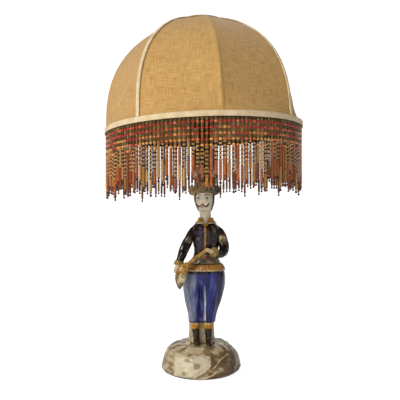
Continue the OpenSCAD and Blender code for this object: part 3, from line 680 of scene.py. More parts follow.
def braid(name, centres, outward, width, thick, columns, loop=False, fold=0.0):
    """A band of braid: its middle line on the cloth, and the way it faces there."""
    centres, outward = np.asarray(centres), np.asarray(outward)
    ahead = np.roll(centres, -1, 0) - np.roll(centres, 1, 0)
    if not loop:
        ahead[0], ahead[-1] = centres[1] - centres[0], centres[-1] - centres[-2]
    side = np.cross(outward, ahead)
    side /= np.linalg.norm(side, axis=1)[:, None]
    spans = np.array([-0.5, -0.25, 0.0, 0.25, 0.5])
    ring = []
    for layer, order in ((0.0, spans), (thick, spans[::-1])):
        for s in order:
            ring.append(centres + side * (s * width)
                        + outward * (layer - fold * (2 * s) ** 2))
    body = np.stack(ring, 1)
    rows, cols = body.shape[:2]
    faces = net(rows, cols, around=True, closed=loop).tolist()
    if not loop:
        faces += [list(range(cols))[::-1],
                  list(range((rows - 1) * cols, rows * cols))]
    path = centres + outward * thick * 0.85
    first = rows * cols
    edges = [(first + i, first + i + 1) for i in range(rows - 1)]
    if loop:
        edges.append((first + rows - 1, first))
    points = np.concatenate([body.reshape(-1, 3), path])
    on_path = np.arange(len(points)) >= first
    faced = np.concatenate([np.repeat(outward, cols, 0), outward])
    made = grown(name, BRAID, points, faces, edges,
                 [("is_path", on_path, "BOOLEAN"),
                  ("outward", faced, "FLOAT_VECTOR")],
                 {"Columns": columns, "Column Width": width / columns,
                  "Stitch Thickness": 0.9 * MM})
    made.data.attributes.remove(made.data.attributes["outward"])
    return made


# %% Braid round the rim and round the top
NARROW = 7.5 * MM
ways = round_from_front(np.linspace(0, 360, 240, endpoint=False))
rim_mid = (band_low[2] + band_high[2]) / 2
rim_braid = braid("rim_braid_band", moved(ways * BRAID_IN + (0, 0, rim_mid), LEAN),
                  leaned(ways), band_high[2] - band_low[2], BRAID_T, 3, loop=True)
dress(rim_braid, "shade", CREAM, ["rim_braid"])

crown_low, crown_high = upright_box("top_braid")
crown_mid = crown_high[1] - NARROW / 2 - 0.05 * MM
upward = np.tile((0.0, 0.0, 1.0), (len(ways), 1))
top_braid = braid("top_braid_band", moved(ways * crown_mid + (0, 0, crown_low[2]), LEAN),
                  leaned(upward), NARROW, BRAID_T, 2, loop=True)
dress(top_braid, "shade", CREAM, ["top_braid"])


# %% Braid over every second rib
def rib_braid(k):
    rib = along_rib(90, rib_wire / 2 + 5 * TOUCH + CLOTH_T)
    rib = np.stack([rib[:, 0] + flare(rib[:, 1]), rib[:, 1]], -1)
    rib = rib[(rib[:, 1] > band_high[2] - Z_RIM) & (rib[:, 0] > crown_high[1])]
    way = round_from_front(np.array([FIRST_RIB - BAY + k * 2 * BAY]))[0]
    centres = rib[:, :1] * way + rib[:, 1:] * (0, 0, 1) + (0, 0, Z_RIM)
    run = np.gradient(rib, axis=0)
    run /= np.linalg.norm(run, axis=1)[:, None]
    outward = run[:, 1:] * way - run[:, :1] * np.array((0, 0, 1))
    return moved(centres, LEAN), leaned(outward)


strips = [braid(f"rib_braid_{k + 1}", *rib_braid(k), NARROW, BRAID_T, 2, fold=0.5 * MM)
          for k in range(PANELS)]
for strip in strips:
    dress(strip, "shade", CREAM)
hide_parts("rib_braids")

# %% [markdown]
# ## The bead fringe
# Each strand starts with cells of a bronze tube and a round bead. The first rows
# are red. Lower rows turn to gold in places, which draws points along the fringe.
# Below them hang long amber tubes or strings of dark and gold seed beads, and a
# dark bead ends each strand. Glass beads are strung on a thread, so a point is
# placed for each bead, and a tree sets the right shape on each.


# %% Glass of the beads
def bead_glass():
    glass = Finish("bead_glass", Roughness=0.2, Coat_Weight=0.35,
                   Coat_Roughness=0.06, Specular_IOR_Level=0.2,
                   Subsurface_Weight=0.12, Subsurface_Scale=0.002)
    tint = glass.attribute("tint")
    swirl = glass.speckle(glass.places((1, 1, 0.35)), 420.0, 2.0)
    shade = glass.ramp(swirl, (0.3, grey(0.62)), (0.5, grey(0.95)), (0.7, grey(1.0)))
    glass.colour(glass.times(tint, shade))
    return glass.material


BEAD_GLASS = bead_glass()


def fringe_recipe():
    r = Recipe("bead_fringe", Round_Sides=10, Seed_Sides=7, Tube_Sides=7, Seed=3)
    beads = r.node("SeparateGeometry", Geometry=r.inputs["Geometry"],
                   Selection=r.layer("is_bead", "BOOLEAN"))
    kind = r.layer("kind", "INT")
    shapes = [
        r.node("MeshUVSphere", Segments=r.inputs["Round Sides"], Rings=6, Radius=0.5),
        r.node("MeshUVSphere", Segments=r.inputs["Seed Sides"], Rings=4, Radius=0.5),
        r.node("MeshCylinder", Vertices=r.inputs["Tube Sides"], Radius=0.5, Depth=1.0),
    ]
    spin = r.node("FunctionNodeRandomValue", {"data_type": "FLOAT"},
                  Seed=r.inputs["Seed"])
    angle = r.node("ShaderNodeCombineXYZ",
                   Z=r.maths("MULTIPLY", spin.outputs["Value"], math.tau))
    parts = []
    for n, shape in enumerate(shapes):
        chosen = r.node("FunctionNodeCompare",
                        {"data_type": "INT", "operation": "EQUAL"})
        r.put(chosen.inputs[2], kind)
        r.put(chosen.inputs[3], n)
        parts.append(r.node("InstanceOnPoints", Points=beads, Selection=chosen,
                            Instance=shape, Rotation=angle,
                            Scale=r.layer("size", "FLOAT_VECTOR")))
    return r.finish(parts, BEAD_GLASS)


FRINGE = fringe_recipe()

# %% Colours of the beads
RED = srgb(178, 48, 34)
ORANGE = srgb(210, 112, 62)
GOLD = srgb(218, 162, 84)
BRONZE = srgb(98, 74, 36)
MOSS = srgb(136, 112, 62)
AMBER = srgb(170, 92, 40)
HONEY = srgb(176, 126, 58)
ROSE = srgb(152, 90, 66)
TAN = srgb(192, 150, 90)
BROWN = srgb(134, 66, 28)
DARK = srgb(38, 22, 13)
WINE = srgb(116, 28, 18)
TUBES = (AMBER, HONEY, AMBER, ROSE, HONEY, AMBER, BROWN, TAN)

# %% Sizes of beads, strands and tape
# A bead is its kind, its width and its length in millimetres
ROUND, SEED, TUBE = 0, 1, 2
CELL_TUBE, CELL_BEAD = (TUBE, 3.9, 4.7), (ROUND, 5.9, 5.0)
DARK_SEED, PALE_SEED = (SEED, 4.8, 3.0), (SEED, 6.2, 3.6)
SEED_PITCH = 3.3
TUBE_WIDE = 5.1
SPACER = (SEED, 5.2, 2.0)
TAIL_SEED, TAIL_BEAD = (SEED, 3.6, 2.2), (ROUND, 5.0, 4.6)
# A rest shorter than this is one long tube
ONE_TUBE = 45
THREAD = 0.5 * MM

STRETCHES = 8
STRANDS = 20
VEES = 3
GOLD_VEES, GOLD_SPAN = 3, 25
LONG, SHORT = 131 * MM, 94 * MM
TAPE_H = 7 * MM
TAPE_HALF = 0.6 * MM
TAPE_R = RIM_R + rim_wire / 2 - 2 * TAPE_HALF
TAPE_TOP = Z_RIM - rim_wire / 2 - TOUCH


def zigzag(turns):
    """Points of a zigzag: 1 at each whole turn, and 0 half way."""
    return abs(2 * (turns % 1) - 1)


def hang(n):
    """Length of strand n: a zigzag of points, and a smaller uneven part."""
    uneven = 0.5 + 0.5 * math.sin(math.radians(n * 137.5))
    return SHORT + (LONG - SHORT) * (0.55 * zigzag(n * VEES / STRANDS) + 0.45 * uneven)


def strand_beads(n, draw):
    """The beads of strand n from the top down: rows kind, width, length, colour."""
    def pick(share, one, other):
        return one if draw.random() < share else other

    vee = zigzag(n * VEES / STRANDS)
    beads = []
    # Cells of a bronze tube and a round bead; gold rises to a point in each vee
    gold_from = 0.9 + 2.5 * zigzag(n * GOLD_VEES / GOLD_SPAN)
    for cell in range(4 + (vee > 0.5)):
        beads.append((*CELL_TUBE, pick(0.7, BRONZE, MOSS)))
        beads.append((*CELL_BEAD, pick(0.8, RED, ORANGE) if cell < gold_from
                      else pick(0.55, GOLD, ORANGE)))
    tail = [(*TAIL_SEED, WINE), (*TAIL_BEAD, pick(0.6, DARK, WINE))]
    left = hang(n) / MM - sum(b[2] for b in beads + tail)
    style = draw.random()
    if style < 0.7:
        # A string of dark and light seeds, then a tube
        pale = TAN if style < 0.2 else GOLD
        spot = DARK if style < 0.45 else BROWN
        seeds = int(left * (0.42 + 0.26 * vee + 0.1 * draw.random()) / SEED_PITCH)
        beads += [(*DARK_SEED, spot) if (s + n) % 2 else (*PALE_SEED, pale)
                  for s in range(seeds)]
        left -= seeds * SEED_PITCH
    # A long rest is cut into two tubes
    first = 1.0 if left < ONE_TUBE else 0.45 + 0.2 * draw.random()
    for share in [first] + [1 - first] * (first < 1):
        colour = TUBES[int(draw.integers(len(TUBES)))]
        beads.append((TUBE, TUBE_WIDE, left * share - SPACER[2], colour))
        beads.append((*SPACER, pick(0.5, WINE, BROWN)))
    return beads + tail


def fringe_stretch(k):
    """Points for every bead of one stretch, hanging plumb from the leaning tape."""
    draw = np.random.default_rng(40 + k)
    strung = []
    for n in range(k * STRANDS, (k + 1) * STRANDS):
        angle = np.array([(n + 0.5) * BAY / STRANDS])
        x, y, top = moved(round_from_front(angle) * TAPE_R
                          + (0, 0, TAPE_TOP - TAPE_H / 2), LEAN)[0]
        z = top - TAPE_H / 2 + 3.4 * MM
        length = hang(n)
        # The thread shows between the beads
        strung.append(((x, y, top - length / 2), TUBE,
                       (THREAD, THREAD, length - 2 * MM), BROWN))
        beads = strand_beads(n, draw)
        fit = (z - (top - length)) / (sum(b[2] for b in beads) * MM)
        for kind, wide, tall, colour in beads:
            tall = tall * MM * fit
            lift = 0.82 + 0.36 * draw.random()
            strung.append(((x, y, z - tall / 2), kind, (wide * MM, wide * MM, tall * 1.02),
                           tuple(c * lift for c in colour[:3]) + (1.0,)))
            z -= tall
    spots, kinds, sizes, tints = zip(*strung)
    made = grown(f"bead_fringe_{k + 1}", FRINGE, spots, layers=[
        ("is_bead", np.ones(len(spots), bool), "BOOLEAN"), ("kind", kinds, "INT"),
        ("size", sizes, "FLOAT_VECTOR"), ("tint", tints, "FLOAT_COLOR")])
    for label in ("is_bead", "kind", "size"):
        if label in made.data.attributes:
            made.data.attributes.remove(made.data.attributes[label])
    dress(made, "shade", None, [f"fringe_{k + 1}"], sharp=60)


for k in range(STRETCHES):
    fringe_stretch(k)

# %% The tape inside the braid, which the strands hang from, dark as painted shadow
tape = turned("fringe_tape", [(TAPE_R + side * TAPE_HALF, TAPE_TOP - drop) for side, drop in (
    (1, TAPE_H), (1, 0), (-1, 0), (-1, TAPE_H))], 180)
# Its dark brown is painted shadow under the braid.
dress(tape, "shade", grained(
    "dark_tape", 1100.0, 2.0, ((0.35, (44, 30, 18)), (0.65, (86, 62, 36))),
    relief=(0.3, 0.6), Roughness=0.85, Specular_IOR_Level=0.2), sharp=40)

# %% [markdown]
# ## Glazed clay
# The figure and its rock are modelled in clay, painted in coloured glazes over
# white, and fired. Clay is soft when it is shaped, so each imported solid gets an
# even skin of small faces, its edges are eased, and marks of the fingers, folds
# and tool cuts are pressed in as small moves of the skin.

# %% Helpers for clay
SAME_POINT = 2e-6
WAVES = 20


def waves(points, size, seed):
    """Smooth random relief, about -1 to 1, with bumps near size wide."""
    draw = np.random.default_rng(seed)
    total = np.zeros(len(points))
    for _ in range(WAVES):
        way = draw.normal(size=3)
        way *= math.tau / (np.linalg.norm(way) * size * draw.uniform(0.8, 2.6))
        total += np.sin(points @ way + draw.uniform(0, math.tau))
    return total / 4.5


def soft(value, width=1.0):
    """0 where value is far below zero, 1 far above, over a soft edge."""
    return 1 / (1 + np.exp(-np.clip(np.asarray(value) * 4 / width, -40, 40)))


def bell(value, width):
    """1 where value is zero, and down to 0 on both sides."""
    return np.exp(-(value / width) ** 2)


def unit(way):
    return way / np.linalg.norm(way)


def from_line(points, *path):
    """Distance from points to a path of straight pieces, all in two or three axes."""
    best = np.full(len(points), np.inf)
    for a, b in zip(path[:-1], path[1:]):
        a, b = np.asarray(a, float), np.asarray(b, float)
        ab = b - a
        t = np.clip((points - a) @ ab / (ab @ ab), 0, 1)
        best = np.minimum(best, np.linalg.norm(points - a - t[:, None] * ab, axis=1))
    return best


def middle(node):
    """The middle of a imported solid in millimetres."""
    low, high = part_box(node)
    return np.array((low + high) / 2 / MM)


class Clay:
    """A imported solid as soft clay: an even skin of small faces with eased edges.
    Its points p are in millimetres. Its glazes are laid one over another."""

    def __init__(self, node, grain, ease=3):
        self.node = node
        mesh = frame["nodes"][node].data.copy()
        self.obj = bpy.data.objects.new(node + "_clay", mesh)
        scene.collection.objects.link(self.obj)
        weld = bmesh.new()
        weld.from_mesh(mesh)
        bmesh.ops.remove_doubles(weld, verts=weld.verts, dist=SAME_POINT)
        weld.to_mesh(mesh)
        weld.free()
        skin = self.obj.modifiers.new("skin", "REMESH")
        skin.mode = "VOXEL"
        skin.voxel_size = grain * MM
        smooth = self.obj.modifiers.new("ease", "SMOOTH")
        smooth.factor = 0.5
        smooth.iterations = ease
        settled(self.obj)
        self.p = read(self.obj.data) / MM
        self.low, self.high = (np.array(corner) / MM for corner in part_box(node))
        self.mid = (self.low + self.high) / 2

    def put(self, points):
        """Moves the skin to new points, and gives their columns x, y and z."""
        self.obj.data.vertices.foreach_set("co", (points * MM).ravel())
        self.obj.data.update()
        self.p = read(self.obj.data) / MM
        return self.p.T

    def press(self, depth):
        """Moves the skin along its normals, outward above zero."""
        return self.put(self.p + read(self.obj.data, "vector") * depth[:, None])

    def waves(self, size, seed, stretch=(1, 1, 1)):
        return waves(self.p * stretch, size, seed)

    def patches(self, size, seed, level, edge, stretch=(1, 1, 1)):
        """Patches of random shape, fewer with a higher level."""
        return soft(self.waves(size, seed, stretch) - level, edge)

    def ground(self, colour):
        """The first glaze, all over. Colours are red, green, blue up to 255."""
        self.colour = np.tile(np.array(srgb(*colour)[:3]), (len(self.p), 1))

    def lay(self, share, colour):
        """One more glaze where share is above zero."""
        share = np.clip(share, 0, 1)[:, None]
        self.colour += share * (np.array(srgb(*colour)[:3]) - self.colour)

    def fire(self, material):
        rows = np.column_stack([self.colour, np.ones(len(self.p))])
        give(self.obj, "glaze", rows, "FLOAT_COLOR")
        dress(self.obj, "lamp", material, [self.node])


def fired_glaze(name, stroke=(1, 1, 1), mottle=0.25, gloss=0.14, haze=0.06):
    """Painted glaze: brushed tone, pooled tone, crazing and a glassy coat."""
    g = Finish(name, Coat_Weight=0.4, Coat_Roughness=haze, Coat_IOR=1.42,
               Specular_IOR_Level=0.08)
    paint = g.attribute("glaze")
    brushed = g.speckle(g.places(stroke), 260.0, 4.0, 0.6)
    pooled = g.speckle(g.places(), 55.0, 3.0)
    tone = g.blend((brushed, 0.6), (pooled, 0.4))
    shade = g.ramp(tone, (0.35, grey(1 - 2.2 * mottle)), (0.5, grey(1 - 0.6 * mottle)),
                   (0.64, grey(1 + 0.3 * mottle)))
    cells = g.node("TexVoronoi", {"feature": "DISTANCE_TO_EDGE"},
                   Vector=g.places(), Scale=300.0).outputs["Distance"]
    craze = g.ramp(cells, (0.0, grey(0.84)), (0.03, grey(1.0)))
    g.colour(g.times(g.times(paint, shade), craze))
    g.roughness(g.spread(pooled, gloss, gloss + 0.22))
    g.bump(tone, 0.5 * MM, 0.5)
    return g.material


# %% Glazes and their colours
CREAMY = (206, 192, 160)
WHITE = (222, 214, 196)
OCHRE = (186, 136, 44)
RUST = (158, 88, 34)
OLIVE = (112, 100, 58)
UMBER = (98, 72, 44)
INK = (18, 12, 9)
COAT = (32, 20, 13)
COBALT = (40, 46, 136)
NIGHT = (16, 18, 62)
ASH = (134, 142, 156)
LILAC = (84, 86, 150)
CRIMSON = (150, 40, 24)

ROCK_GLAZE = fired_glaze("rock_glaze_paint", (1, 1, 1.6), 0.2, 0.3, 0.24)
CLOTH_GLAZE = fired_glaze("clothes_glaze_paint", (1.6, 1.6, 0.3), 0.3, 0.12)
TRIM_GLAZE = fired_glaze("trim_glaze_paint", (1, 1, 1), 0.28, 0.14)
SKIN_GLAZE = fired_glaze("skin_glaze_paint", (1, 1, 1), 0.07, 0.12)

# %% [markdown]
# ## Rock base
# The rock was cut with a wire and a knife while soft. Each cut is a plane, so the
# skin is brought back to a set of planes laid round the mound. Cream glaze stands
# on the ridges and faces, and brown washes run into the cuts and round the foot.
# The right side is darker, partly brown wash and partly painted shade, and faces
# that look down are painted darker as painted shade.


# %% Rock base
CUTS = 56


def hewn(p, outer, free):
    """Points drawn in to planes that cut the rock, and each plane's share there."""
    draw = np.random.default_rng(12)
    core = np.array([0.0, 0.0, 8.0])
    out = p - core
    reach = np.linalg.norm(out, axis=1)
    way = out / reach[:, None]
    cuts = []
    for n in range(CUTS):
        t = n * 2.4 + draw.uniform(-0.3, 0.3)
        rise = draw.uniform(-0.2, 1.15)
        face = np.array([math.cos(t) * math.cos(rise), math.sin(t) * math.cos(rise),
                         math.sin(rise)])
        far = np.partition((out @ face)[outer > 0.5], -300)[-300] - draw.uniform(0.5, 3.6)
        cuts.append(far / np.maximum(way @ face, 0.05))
    nearest = np.min(cuts, axis=0)
    share = np.exp(-(np.array(cuts) - nearest) / 0.5)
    cut = np.minimum(reach, nearest)
    return p + way * ((cut - reach) * free)[:, None], share / share.sum(0)


def rock():
    c = Clay("rock_base", 1.0)
    x, y, z = c.p.T
    top = c.high[2]
    around = np.hypot(x, y)
    # The outside, away from the foot, the figure's ledge and the inlet's patch
    outer = soft(around - np.interp(z, [0, 0.7 * top, top], [64, 60, 38]), 3)
    inlet = np.hypot(x, z - 15) + 60 * soft(30 - y, 5)
    free = (outer * soft(z - 4, 3) * soft(inlet - 14, 3)
            * np.maximum(soft(top - 2.5 - z, 2), soft(around - 44, 2)))
    c.p[:, :2] *= 1 + 0.035 * free[:, None]
    points, share = hewn(c.p, outer, free)
    x, y, z = c.put(points)
    # The ledge is folded outward from the boots, and a small stone lies beside them
    turn = np.arctan2(x, -y)
    ledge = soft(z - top + 8, 3) * soft(around - 27, 3)
    rays = np.sin(13 * turn + around / 9 + 1.8 * c.waves(26, 8))
    rays *= soft(np.abs(turn) - 0.5, 0.3)
    rough = 0.45 * c.waves(13, 1) + 0.25 * c.waves(5, 2)
    stone = soft(4.4 - np.maximum(np.abs(x + 24), np.abs(y + 15)), 0.9)
    stone *= soft(z - top + 2, 1)
    # One broad face in front was sliced flat, and thin ridges run up to its right
    fine = c.waves(10, 6)
    front = soft(-y, 5)
    sliced = front * (soft(x + 47 + 3 * fine, 1.5) * soft(18 - x + 0.8 * fine, 1)
                      * soft(42 - z + 1.5 * fine, 1) * soft(z - 14 - 0.8 * x + 3 * fine, 2))
    ridges = np.min([from_line(c.p[:, [0, 2]], *line) for line in (
        ((-12, 4), (8, 4), (24, 10), (29, 15)), ((-20, 6), (-6, 14), (4, 22)),
        ((24, 22), (38, 34), (52, 40)))], axis=0) + 0.5 * fine
    ridge = front * soft(1.0 - ridges, 0.7)
    x, y, z = c.press(rough * free * (1 - 0.6 * sliced) + 0.9 * rays * ledge * free
                      + 4.5 * stone - 1.1 * sliced + 0.8 * ridge)
    lift = read(c.obj.data, "vector")
    c.ground((206, 190, 154))
    # Each cut face took the brown wash more or less. The right side is darker still,
    # partly brown wash and partly painted shade, and the far left a little darker.
    draw = np.random.default_rng(9)
    dark = draw.choice([0, 0.1, 0.3, 0.6, 0.9], CUTS) @ share
    slant = waves(c.p @ np.array([[1, 0, 0.6], [0, 1, 0], [-0.6, 0, 1]]) * (0.3, 0.3, 1), 8, 7)
    tone = dark + 0.75 * soft(turn - 0.62, 0.25) + 0.3 * soft(-turn - 0.75, 0.25)
    c.lay(0.85 * soft(tone + 0.35 * fine + 0.3 * slant - 0.5, 0.35), (148, 120, 80))
    c.lay(0.85 * soft(tone + 0.3 * slant - 0.85, 0.35), (98, 74, 46))
    c.lay(0.5 * soft(0.8 * slant - 0.5 * fine - 0.6, 0.3), (142, 114, 84))
    # The foot's brown band turns nearly black on the right, partly as painted shade.
    foot = soft(11 - z + 2 * fine, 2.5)
    c.lay(0.9 * foot * soft(turn - 0.1, 0.3), (96, 72, 42))
    c.lay(0.85 * foot * soft(turn - 0.95, 0.3), (44, 32, 22))
    c.lay(0.6 * foot * soft(-turn - 0.55, 0.2), (92, 72, 44))
    # The sliced face is left nearly white, with a few washed patches
    c.lay(0.92 * sliced, (226, 213, 184))
    for left, up, wide, tall, colour in ((-20, 33, 8, 4, OLIVE), (-8, 27, 7, 5, UMBER),
                                         (-32, 12, 4, 3, OLIVE), (22, 31, 3, 9, OLIVE)):
        spot = np.hypot((x - left) / wide, (z - up) / tall) + 0.3 * fine
        c.lay(0.6 * front * soft(1 - spot, 0.3), colour)
    c.lay(0.85 * ridge, (224, 206, 170))
    c.lay(0.6 * ledge * soft(rays - 0.1, 0.5), (222, 206, 168))
    broken = c.patches(16, 11, -0.5, 0.8)
    c.lay(0.75 * ledge * broken * soft(-rays - 0.45, 0.35), (112, 86, 50))
    c.lay(0.95 * stone, (230, 220, 192))
    # Faces that look downward are painted darker, as painted shade.
    c.lay(0.5 * soft(-lift[:, 2] - 0.6, 0.3), UMBER)
    c.fire(ROCK_GLAZE)


rock()


# %% The support behind the boots, the boots and the socks
def support():
    c = Clay("leg_support", 0.9)
    front = soft(-c.p[:, 1], 4)
    c.press(0.45 * c.waves(6, 3, (1, 1, 0.4)) + 0.25 * c.waves(3, 4))
    c.ground((204, 192, 158))
    c.lay(0.45 * c.patches(5, 9, 0, 0.6), (176, 158, 116))
    c.lay(0.3 * front * c.patches(7, 10, 0.3, 0.4, (1, 1, 0.3)), OLIVE)
    c.fire(TRIM_GLAZE)


def boot(node, seed):
    c = Clay(node, 0.8)
    z = c.press(0.35 * c.waves(7, seed))[2]
    c.ground((38, 21, 12))
    c.lay(0.6 * c.patches(8, seed + 1, 0.2, 0.5, (1, 1, 0.5)), (88, 52, 30))
    c.lay(0.5 * c.patches(5, seed + 2, 0.6, 0.3), (70, 70, 46))
    c.lay(0.8 * soft(z - z.max() + 3 + c.waves(5, 3), 2), (96, 30, 14))
    c.lay(0.7 * soft(z.min() + 1.2 - z, 1), CREAMY)
    c.fire(TRIM_GLAZE)


def sock(node, seed):
    c = Clay(node, 0.8)
    z = c.press(0.4 * c.waves(6, seed))[2]
    c.ground((198, 142, 36))
    c.lay(0.6 * c.patches(6, seed + 1, 0.1, 0.5), (190, 110, 30))
    c.lay(0.8 * soft(z.min() + 2.4 - z + c.waves(4, 5), 1.5), (96, 84, 24))
    c.lay(0.85 * soft(z - z.max() + 2.2 + 0.8 * c.waves(5, 6), 1.2), CREAMY)
    c.fire(TRIM_GLAZE)


support()
boot("right_boot", 21)
boot("left_boot", 31)
sock("right_sock", 41)
sock("left_sock", 51)

# %% [markdown]
# ## Trousers and belt
# The full trousers were laid on as a soft wall of clay, and hang in folds. The
# cobalt glaze was brushed downward, so it is streaked, thick and almost black in
# places. The left hip is painted greyish as painted light, and the right edge
# darker as painted shade. A pale slit parts the legs, with painted shade beside it.


# %% Trousers and belt
def trousers():
    c = Clay("trousers", 0.95)
    x, y, z = c.p.T
    mid, foot, top = c.mid[0], c.low[2], c.high[2]
    share = (z - foot) / (top - foot)
    slit = 7.2
    aside = np.abs(x - slit)
    turn = np.arctan2(y, (x - mid) * 0.85)
    outer = soft(np.hypot(x - mid, y) - 12, 2)
    # The slit between the legs is wider towards the ankles
    gap = 1.6 + 2.6 * np.clip(1 - share / 0.7, 0, 1)
    folds = (np.sin(13 * turn + 1.3 * c.waves(60, 1) + 2 * share)
             + 0.6 * np.sin(23 * turn + 3 * share))
    loose = np.clip(4 * share * (1 - share), 0, 1) * soft(0.93 - share, 0.06)
    x, y, z = c.press(outer * (0.55 * loose * folds + 0.3 * c.waves(9, 2, (1, 1, 0.4))
                               - 4.5 * bell(aside, gap) * soft(0.72 - share, 0.1)))
    c.ground(COBALT)
    streak = c.waves(6, 3, (1, 1, 0.13))
    cloud = c.waves(16, 4, (1, 1, 0.5))
    c.lay(0.8 * soft(streak - 0.35, 0.5), NIGHT)
    c.lay(0.75 * soft(-streak - 0.45 + 0.3 * cloud, 0.4), LILAC)
    c.lay(0.7 * soft(cloud + 0.4 * streak - 0.9, 0.4), (40, 42, 140))
    # The left side is painted greyish as painted light, the right edge darker as painted shade.
    left = soft(mid - 18 - x + 5 * cloud, 7) * soft(1.02 - share, 0.1)
    c.lay(0.8 * left * soft(streak + 0.9, 0.8), ASH)
    c.lay(0.75 * soft(x - mid - 27 + 4 * cloud, 5), (46, 48, 62))
    front = soft(-y - 2, 3)
    c.lay(0.95 * front * soft(0.75 * gap - aside, 0.7) * soft(0.70 - share, 0.04),
          (204, 202, 192))
    # Painted shade darkens both sides of the slit.
    c.lay(0.5 * front * soft(4.5 - aside, 2) * soft(aside - 2, 1), NIGHT)
    c.lay(0.9 * soft(share - 0.965 + 0.015 * streak, 0.02), INK)
    c.lay(0.85 * soft(0.022 - share, 0.02), INK)
    pocket = np.abs(np.hypot(x + 20, z - 185) - 6)
    c.lay(0.5 * front * soft(0.8 - pocket, 0.8) * soft(188 - z, 4), ASH)
    c.fire(CLOTH_GLAZE)


def belt():
    c = Clay("belt", 0.7)
    x, y, z = c.p.T
    mid, foot, top = c.mid[0], c.low[2], c.high[2]
    outer = soft(np.hypot(x - mid, y) - 20, 2)
    turn = np.arctan2(y * 1.2, x - mid)
    reed = np.cos(turn * 84)
    hem = foot + 3.6 + 1.1 * np.sin(turn * 13) + 0.6 * c.waves(9, 5)
    x, y, z = c.press(outer * (0.3 * reed * soft(z - hem, 1) * soft(top - 1 - z, 1)
                               + 0.7 * bell(z - hem + 2, 1.6)))
    c.ground((172, 116, 36))
    c.lay(0.85 * soft(mid + 6 - x + 6 * c.waves(12, 6), 8), RUST)
    # Ridges of the reeding are painted lighter and its grooves darker: painted highlight and
    # painted shade.
    c.lay(0.55 * soft(reed - 0.3, 0.6), (204, 160, 84))
    c.lay(0.55 * soft(-reed - 0.4, 0.5), (110, 74, 28))
    c.lay(0.7 * soft(z - top + 1.8, 1), (74, 56, 34))
    c.lay(0.9 * outer * soft(hem - z, 1), (198, 178, 132))
    c.lay(0.4 * soft(foot + 1 - z, 1), UMBER)
    c.fire(TRIM_GLAZE)


trousers()
belt()

# %% [markdown]
# ## Jacket, arms and their trims
# The tight dark jacket is glazed brown-black, rubbed to olive where the brush ran
# dry, with a violet streak beside the placket. Ochre trims edge it: the placket,
# the open collar's two lapels and the frilled cuffs.


# %% Jacket and arms
def coat(c, seed, level):
    """Brown-black glaze with worn spots, fewer with a higher level."""
    c.ground(COAT)
    worn = c.waves(7, seed, (1, 1, 0.6)) + 0.5 * c.waves(3.5, seed + 1) - level
    c.lay(0.75 * c.patches(14, seed + 2, 0, 0.8, (1, 1, 0.5)), INK)
    c.lay(0.6 * soft(worn + 0.55, 0.5), (74, 54, 40))
    c.lay(0.65 * soft(worn - 0.05, 0.35), (112, 92, 60))
    c.lay(0.6 * soft(worn - 0.6, 0.3), (166, 150, 112))


def jacket():
    c = Clay("jacket", 0.95)
    x, y, z = c.p.T
    foot, top = c.low[2], c.high[2]
    outer = soft(np.hypot(x - 11, y) - 13, 2)
    x, y, z = c.press(outer * 0.5 * c.waves(11, 1, (1, 1, 0.5)))
    coat(c, 60, 1.15)
    front = soft(-y - 3, 3)
    seam = 8.5
    streak = np.abs(x - seam + 9 - 0.05 * (z - 260)) + 1.5 * c.waves(6, 2)
    c.lay(0.7 * front * soft(3.5 - streak, 2) * soft(z - 240, 14), (58, 44, 86))
    skirt = soft(foot + 17 + 4 * c.waves(12, 3) - z, 5)
    c.lay(0.85 * skirt, (118, 106, 82))
    c.lay(0.5 * skirt * c.patches(7, 4, 0.3, 0.4), (150, 132, 116))
    red = np.hypot(x - 12, (z - foot - 13) * 1.6)
    c.lay(0.85 * front * soft(4.5 - red, 1.5), (140, 48, 40))
    c.lay(0.9 * soft(z - top + 2, 1.5), WHITE)
    # The lapels meet in a vee with a pale shirt, a grey bow and an ochre drop in it
    rise, off = z - top + 15, x - seam - 1
    c.lay(0.92 * front * soft(0.8 * rise - np.abs(off), 1), OCHRE)
    c.lay(0.92 * front * soft(0.4 * rise - 1.4 - np.abs(off), 0.8), WHITE)
    bow = np.hypot((np.abs(off) - 2.6) / 2.3, (rise - 10) / 1.6)
    c.lay(0.8 * front * soft(1 - bow, 0.5), (116, 112, 98))
    drop = np.hypot(off, (rise - 5.5) / 2)
    c.lay(0.9 * front * soft(1.7 - drop, 0.7), (168, 134, 40))
    c.fire(CLOTH_GLAZE)


def arm(node, seed, level, pale_spot=None):
    c = Clay(node, 0.8)
    c.press(0.45 * c.waves(9, seed))
    coat(c, seed + 10, level)
    # A pale spot with a near-white middle is laid at one point on the arm.
    if pale_spot is not None:
        near = np.linalg.norm(c.p - np.array(pale_spot), axis=1) + 3 * c.waves(5, seed)
        c.lay(0.7 * soft(9 - near, 5), (140, 116, 88))
        c.lay(0.85 * soft(2.4 - near * 0.5, 1), (198, 176, 140))
    c.fire(CLOTH_GLAZE)


jacket()
arm("right_arm", 70, 1.5)
arm("left_arm", 80, 1.25, pale_spot=(43, -12, 260))


# %% Placket, collar and cuffs
def placket():
    c = Clay("jacket_placket", 0.4, ease=1)
    x, z = c.p[:, 0], c.p[:, 2]
    off = x - (x.min() + x.max()) / 2
    c.ground((170, 128, 50))
    c.lay(0.6 * c.patches(5, 1, 0, 0.5), OLIVE)
    c.lay(0.8 * soft(off - 1.2, 0.6) * c.patches(9, 2, -0.4, 0.4), CRIMSON)
    # Small painted buttons
    pitch = 13
    beat = np.abs(np.mod(z, pitch) - pitch / 2)
    c.lay(0.7 * soft(1.3 - np.hypot(beat, off), 0.6), (214, 176, 96))
    c.fire(TRIM_GLAZE)


